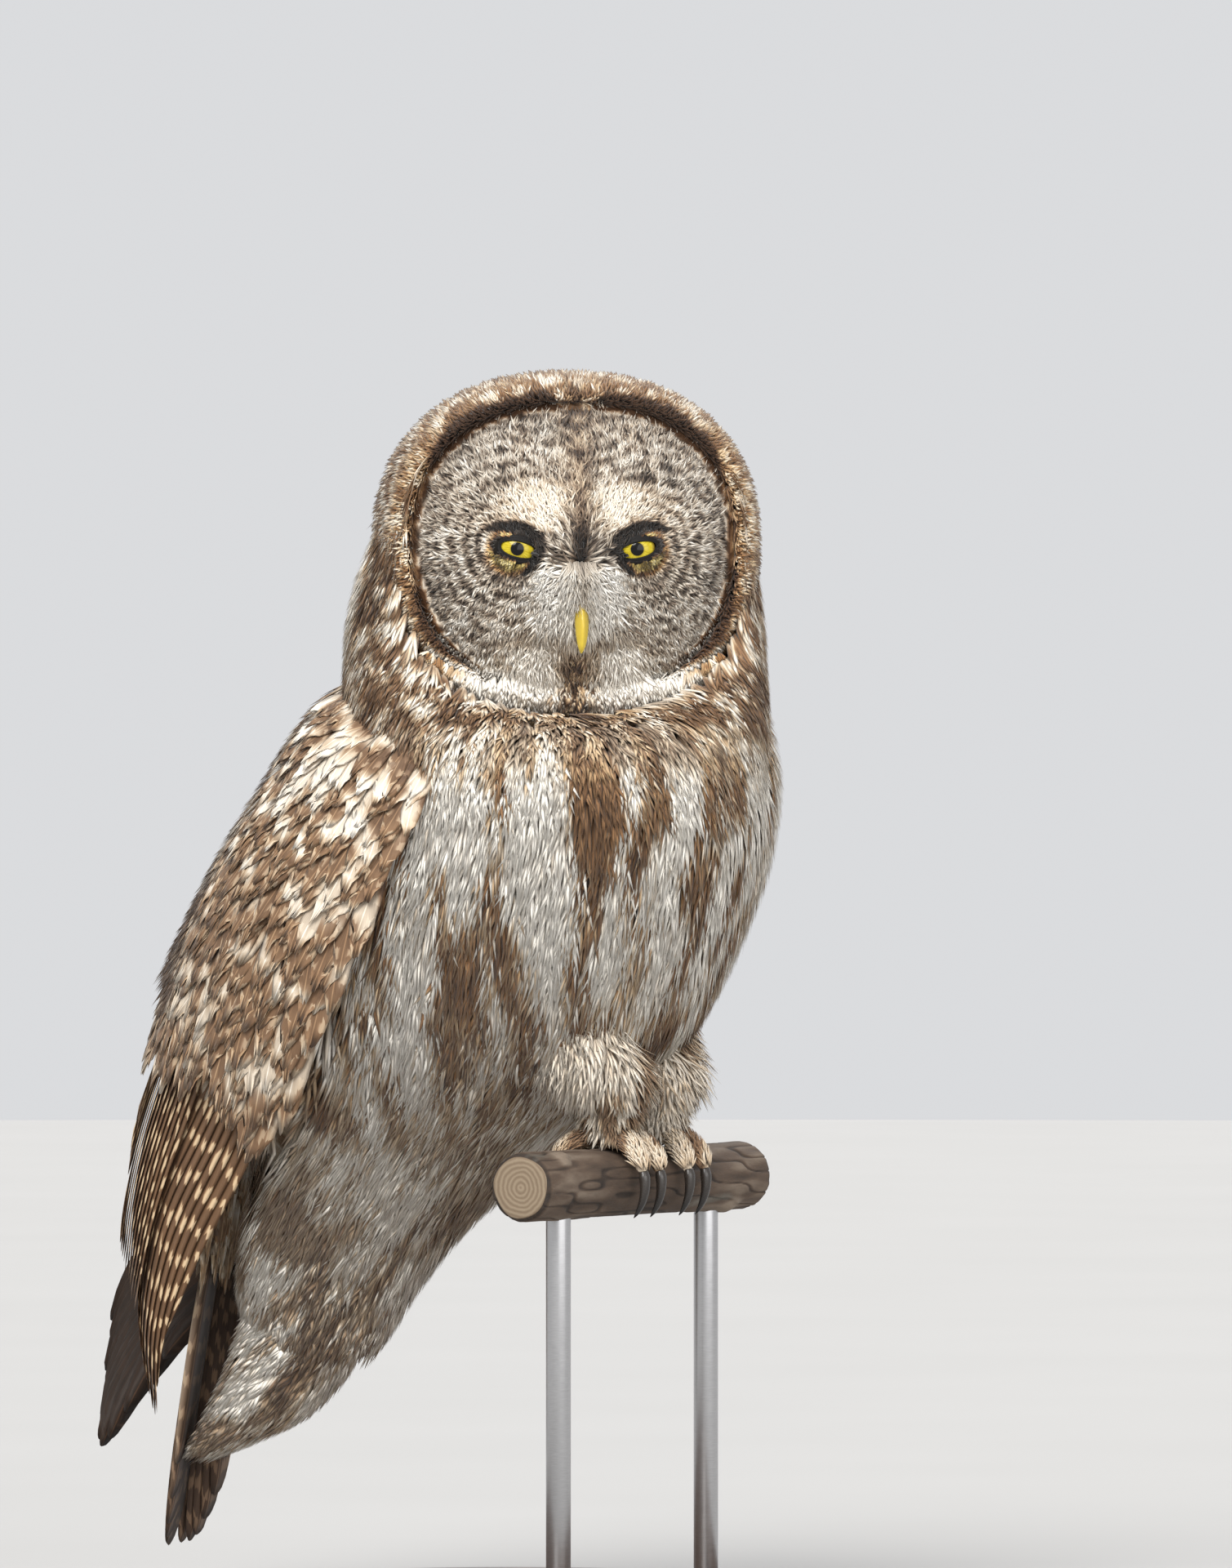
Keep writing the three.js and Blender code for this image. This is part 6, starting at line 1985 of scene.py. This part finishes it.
def leg_tufts(side):
    """Loose tufts down a leg: an upright sheet of ellipses, with the longest tufts halfway down."""
    height = np.linspace(316, 247, 46)
    x, y, radius = read_table(LEG_SECTIONS, np.clip(height, 249, 306)).T[..., None]
    height = height[:, None]
    radius = radius - 0.7 * np.maximum(height - 300, 0)
    rings = (side * x + radius * np.cos(AROUND), y + 1.1 * radius * np.sin(AROUND), height)
    sheet = Sheet(np.stack(np.broadcast_arrays(*rings), -1), (side * 26.0, 8.0, 275.0), wrap=True)
    s, t = rows_of_roots(sheet, 4.6)
    length = mix(34.0, 17.0, s) * rng.uniform(0.7, 1.15, len(s))
    return locks(sheet, s, t, -UP, length, 2.6, LEG_COAT, spread=0.24, ruffle=0.20,
                 tip_lift=mix(4.0, 2.0, s) + 10.0 * bell(s - 0.5, 0.24))


def toe_tufts(side, toe):
    """Short tufts on the upper side of a toe, along the arc round the branch."""
    degrees = np.linspace(-6, TOE_SWEEP, 30)
    radius = np.interp(degrees, [-6, 12, 50, TOE_SWEEP], [6.6, 6.5, 6.1, 4.9])[:, None]
    path = grip_point(side, toe, degrees, GRIP_RADIUS)
    on_yz = np.array([0.0, 1.0, 1.0])
    out = unit((path - PERCH_Z * UP) * on_yz)
    across = np.cross(unit(np.gradient(path, axis=0)), out)
    angle = np.linspace(-0.70, 0.70, 25) * np.pi
    grid = (path[:, None] + out[:, None] * (radius * np.cos(angle))[..., None]
            + across[:, None] * (radius * np.sin(angle))[..., None])
    sheet = Sheet(grid, path.mean(axis=0))
    s, t = rows_of_roots(sheet, 2.3)
    s, t = s[s < 0.93], t[s < 0.93]

    def round_branch(points):
        """Square to the line from the branch's axis, on towards the claw."""
        return np.cross((points - PERCH_Z * UP) * on_yz, -X_AXIS) * TOES[toe][0]

    return locks(sheet, s, t, round_branch, 8.5, 1.5, TOE_COAT, count=2, spread=0.25, ruffle=0.2,
                 tip_lift=0.7, thickness=0.3)


for name, lot, brightest, warmer in (
        ("leg_feathers", joined([leg_tufts(side) for side in (-1, 1)]), 1.05, 0.0),
        ("toe_feathers", joined([toe_tufts(side, toe) for side in (-1, 1) for toe in TOES]), 1.0, 0.1)):
    # The factor on tone is painted shade: each lock darker towards its root; brightest sets its tip.
    tone, warmth = leg_marks(mix(lot["root"], lot["points"], 0.5))
    coat(name, lot, tone * mix(0.78, brightest, lot["along"]), warmth + warmer, soft_material, "fluff")

# %% [markdown]
# ## Perch and stand
#
# The branch is a cylinder whose radius follows noise: long ridges, cracks between them and a few
# knots. Its sawn ends show rings. The stand is a turned wooden base with two steel rods.

# %% Branch


def along_x(x, radius, angle):
    """Rings round the branch's axis: their place along X, radius and angle."""
    rings = (x, radius * np.cos(angle), PERCH_Z + radius * np.sin(angle))
    return np.stack(np.broadcast_arrays(*rings), -1)


def branch_piece(material):
    """Bark as a height over angle and length; only its free parts swell, so the toes still fit."""
    x, angle = np.linspace(-PERCH_LENGTH / 2, PERCH_LENGTH / 2, 240)[:, None], round_angles(160)[None, :]
    free = smooth(np.abs(x), 40, 56)
    spot = np.stack(np.broadcast_arrays(x, PERCH_RADIUS * np.cos(angle), PERCH_RADIUS * np.sin(angle)), -1)
    ridges = noise(spot, (26, 4.5, 4.5), 91) + 0.5 * noise(spot, (10, 2.4, 2.4), 92)
    crack = smooth(np.abs(noise(spot, (34, 6, 6), 93) - 0.5), 0.0, 0.07)
    knot = (bell(np.hypot(x - 78, PERCH_RADIUS * (angle - 4.2)), 6.0)
            + bell(np.hypot(x + 84, PERCH_RADIUS * (angle - 2.2)), 5.0))
    radius = PERCH_RADIUS - 0.9 + 0.75 * ridges * mix(0.6, 1.0, free) - 0.7 * (1 - crack) + 2.2 * knot * free
    radius = radius - 0.8 * smooth(np.abs(x), PERCH_LENGTH / 2 - 2.5, PERCH_LENGTH / 2)
    points, triangles = loft(along_x(x, radius, angle))
    depth = np.append(radius - PERCH_RADIUS, [0, 0])
    mesh_piece("branch_bark", points, triangles, material, ["perch_branch"], {"depth": depth})


def bark_material():
    """Grey brown bark, darker in its cracks, with lichen-pale flakes on the ridges."""
    new_material("Bark")
    stretched = mapping(Scale=(0.3, 1.0, 1.0))
    fine, broad = grain(260.0, 6.0, 0.65, stretched), grain(60.0, 3.0, 0.5, stretched)
    high = ranged(attribute("depth"), -1.2, 0.4)
    colour = ramp(high * 0.6 + fine * 0.4,
                  [(0.15, (0.018, 0.011, 0.007)), (0.5, (0.085, 0.055, 0.036)), (0.85, (0.20, 0.155, 0.115))])
    colour = mixed(ranged(broad, 0.58, 0.72, 0.0, 0.45), colour, (0.23, 0.225, 0.19, 1))
    return finished({"Base Color": colour, "Roughness": ranged(fine, 0.2, 0.8, 0.72, 0.95),
                     "Normal": bump(fine, 0.7, 0.0012)})


def end_piece(word, side, material):
    """A thin disc of sawn wood set in the branch's end."""
    radius = np.array([0.2, 5.0, 10.0, 14.2, 14.8, 14.8, 10.0, 0.2])[:, None]
    x = np.array([0.35, 0.35, 0.35, 0.35, 0.1, -1.2, -1.2, -1.2])[:, None]
    angle = round_angles(72)[None, :]
    wobble = 1 + 0.02 * np.sin(3 * angle) + 0.015 * np.sin(5 * angle + 1)
    points, triangles = loft(along_x(side * (PERCH_LENGTH / 2 + x), radius * wobble, angle))
    mesh_piece(f"branch_end_{word}", points, triangles, material)


def sawn_material():
    """Pale end grain with year rings round the branch's axis, and saw marks."""
    new_material("Sawn wood")
    centred = mapping(Location=(0.0, -PERCH_Y * MM, -PERCH_Z * MM))
    rings = node("TexWave", {"Scale": 130.0, "Distortion": 3.5, "Detail": 3.0, "Vector": centred},
                 output="Fac", wave_type="RINGS", rings_direction="X")
    value = rings * 0.7 + grain(900.0, 3.0, 0.6) * 0.3
    colour = ramp(value, [(0.1, (0.150, 0.105, 0.066)), (0.9, (0.235, 0.180, 0.120))])
    return finished({"Base Color": colour, "Roughness": 0.8, "Normal": bump(value, 0.3, 0.0004)})


branch_piece(bark_material())
sawn = sawn_material()
for word, side in HANDS:
    end_piece(word, side, sawn)

# %% Stand
base_low, base_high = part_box("stand_base")
BASE_RADIUS, BASE_HEIGHT = base_high.x / MM, base_high.z / MM


def base_piece(material):
    """A turned disc: a profile from the middle of the underside, round the edge, to the middle of the top."""
    r, h = BASE_RADIUS, BASE_HEIGHT
    profile = [[0.5, 0.0], [r * 0.5, 0.0], [r - 1.2, 0.0], [r, 1.2], [r, h - 6.0]]
    profile += [[r - 3.0 + 3.0 * math.cos(a), h - 6.0 + 3.0 * math.sin(a)] for a in np.linspace(0, np.pi / 2,
                                                                                                8)[1:]]
    profile += [[r - 5.0, h - 3.0], [r - 6.5, h - 2.2], [r - 8.0, h - 0.4], [r - 10.0, h], [r * 0.6, h],
                [0.5, h]]
    out, z = np.array(profile).T[..., None]
    angle = round_angles(180)[None, :]
    rings = np.broadcast_arrays(out * np.cos(angle), out * np.sin(angle) - PERCH_Y, z)
    points, triangles = loft(np.stack(rings, -1))
    mesh_piece("stand_base_turned", points, triangles, material, ["stand_base"])


def wood_material():
    """Dark oiled wood: long grain along X with fine pores."""
    new_material("Dark wood")
    stretched = mapping(Scale=(0.08, 1.0, 1.0))
    pores = grain(900.0, 2.0, 0.5, stretched)
    value = grain(130.0, 6.0, 0.6, stretched) * 0.8 + pores * 0.2
    colour = ramp(value, [(0.3, (0.022, 0.011, 0.006)), (0.5, (0.060, 0.029, 0.014)),
                          (0.72, (0.120, 0.062, 0.030))])
    return finished({"Base Color": colour, "Roughness": ranged(pores, 0.2, 0.8, 0.34, 0.5),
                     "Coat Weight": 0.2,
                     "Coat Roughness": 0.25, "Normal": bump(value, 0.15, 0.0004)})


def steel_material():
    """Brushed steel: fine scratches round the rod."""
    new_material("Brushed steel")
    brushed = grain(2600.0, 2.0, 0.5, mapping(Scale=(0.1, 0.1, 1.0)))
    return finished({"Base Color": ramp(brushed, [(0.3, (0.46, 0.46, 0.47)), (0.7, (0.52, 0.52, 0.53))]),
                     "Metallic": 1.0, "Roughness": ranged(brushed, 0.3, 0.7, 0.30, 0.36),
                     "Normal": bump(brushed, 0.03, 0.0001)})


def rod_piece(word, material):
    """A round rod in its node's place, chamfered at its foot."""
    low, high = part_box(f"stand_rod_{word}")
    radius = (high.x - low.x) / 2 / MM
    z = np.array([low.z / MM, low.z / MM + 0.4, high.z / MM - 0.5, high.z / MM])
    path = np.stack([np.full(4, (low.x + high.x) / 2 / MM), np.zeros(4), z], -1)
    radii = np.array([radius - 0.3, radius, radius, radius])
    points, triangles = tube(path, radii, radii, 72, Y_AXIS)
    mesh_piece(f"stand_rod_{word}_round", points, triangles, material, [f"stand_rod_{word}"])


base_piece(wood_material())
steel = steel_material()
for word in ("right", "left"):
    rod_piece(word, steel)

# %% [markdown]
# ## Floor, light and camera
#
# A museum photograph: a plain pale floor, broad soft lights and a long lens from the side on which
# the head looks at the viewer. Distant lights are used because they fall evenly on the whole floor.

# %% Stage
CAMERA_AZIMUTH = -60.0


def placed(name, data):
    """An object for the data, linked to the scene."""
    thing = bpy.data.objects.new(name, data)
    bpy.context.scene.collection.objects.link(thing)
    return thing


def floor_piece():
    """A large pale disc under the stand."""
    angle = round_angles(128)
    points, triangles = loft(np.stack([np.stack([9.0 * np.cos(angle), 9.0 * np.sin(angle), np.full(128, z)],
                                                -1)
                                       for z in (-0.0005, -0.02)]))
    mesh = bpy.data.meshes.new("floor")
    mesh.from_pydata(points.tolist(), [], triangles.tolist())
    new_material("Pale floor")
    colour = ramp(grain(3.0, 2.0, 0.5), [(0.3, (0.385, 0.38, 0.372)), (0.7, (0.395, 0.39, 0.382))])
    mesh.materials.append(finished({"Base Color": colour, "Roughness": 0.85}))
    placed("floor", mesh)


def distant_light(name, azimuth, elevation, strength, spread, colour=(1, 1, 1)):
    """A far soft light: the wider its spread of degrees in the sky, the softer its shadows."""
    light = bpy.data.lights.new(name, "SUN")
    light.energy = strength
    light.angle = math.radians(spread)
    light.color = colour
    placed(name, light).rotation_euler = (math.radians(90 - elevation), 0, math.radians(azimuth))


floor_piece()
distant_light("key", CAMERA_AZIMUTH - 20, 38, 3.3, 32, (1.0, 0.985, 0.96))
distant_light("fill", CAMERA_AZIMUTH + 34, 2, 2.1, 60, (1.0, 0.99, 0.98))
distant_light("back", CAMERA_AZIMUTH + 165, 50, 1.6, 40)
world = bpy.data.worlds.new("studio")
world.use_nodes = True
world.node_tree.nodes["Background"].inputs[0].default_value = (0.86, 0.87, 0.89, 1)
world.node_tree.nodes["Background"].inputs[1].default_value = 0.82
bpy.context.scene.world = world
bpy.context.scene.view_settings.view_transform = "Standard"
print("floor and three distant lights")

# %% Camera
CAMERA_DISTANCE = 6.0
FRAME_HEIGHT = 0.768
FRAME_CENTRE_RIGHT, FRAME_CENTRE_UP = 0.0524, 0.4104
SENSOR = 36.0
turn = math.radians(CAMERA_AZIMUTH)
back = np.array([math.sin(turn), -math.cos(turn), 0.0])
right = np.array([math.cos(turn), math.sin(turn), 0.0])
lens = bpy.data.cameras.new("camera")
lens.sensor_width = SENSOR
lens.lens = SENSOR * CAMERA_DISTANCE / FRAME_HEIGHT
lens.clip_end = 50.0
camera = placed("camera", lens)
camera.location = back * CAMERA_DISTANCE + right * FRAME_CENTRE_RIGHT + UP * FRAME_CENTRE_UP
camera.rotation_euler = (math.radians(90), 0, turn)
bpy.context.scene.camera = camera
print("lens of", round(lens.lens), "mm at", CAMERA_DISTANCE, "m")

# %% Sizes and finish
print("triangles in all:", sum(pieces.values()))
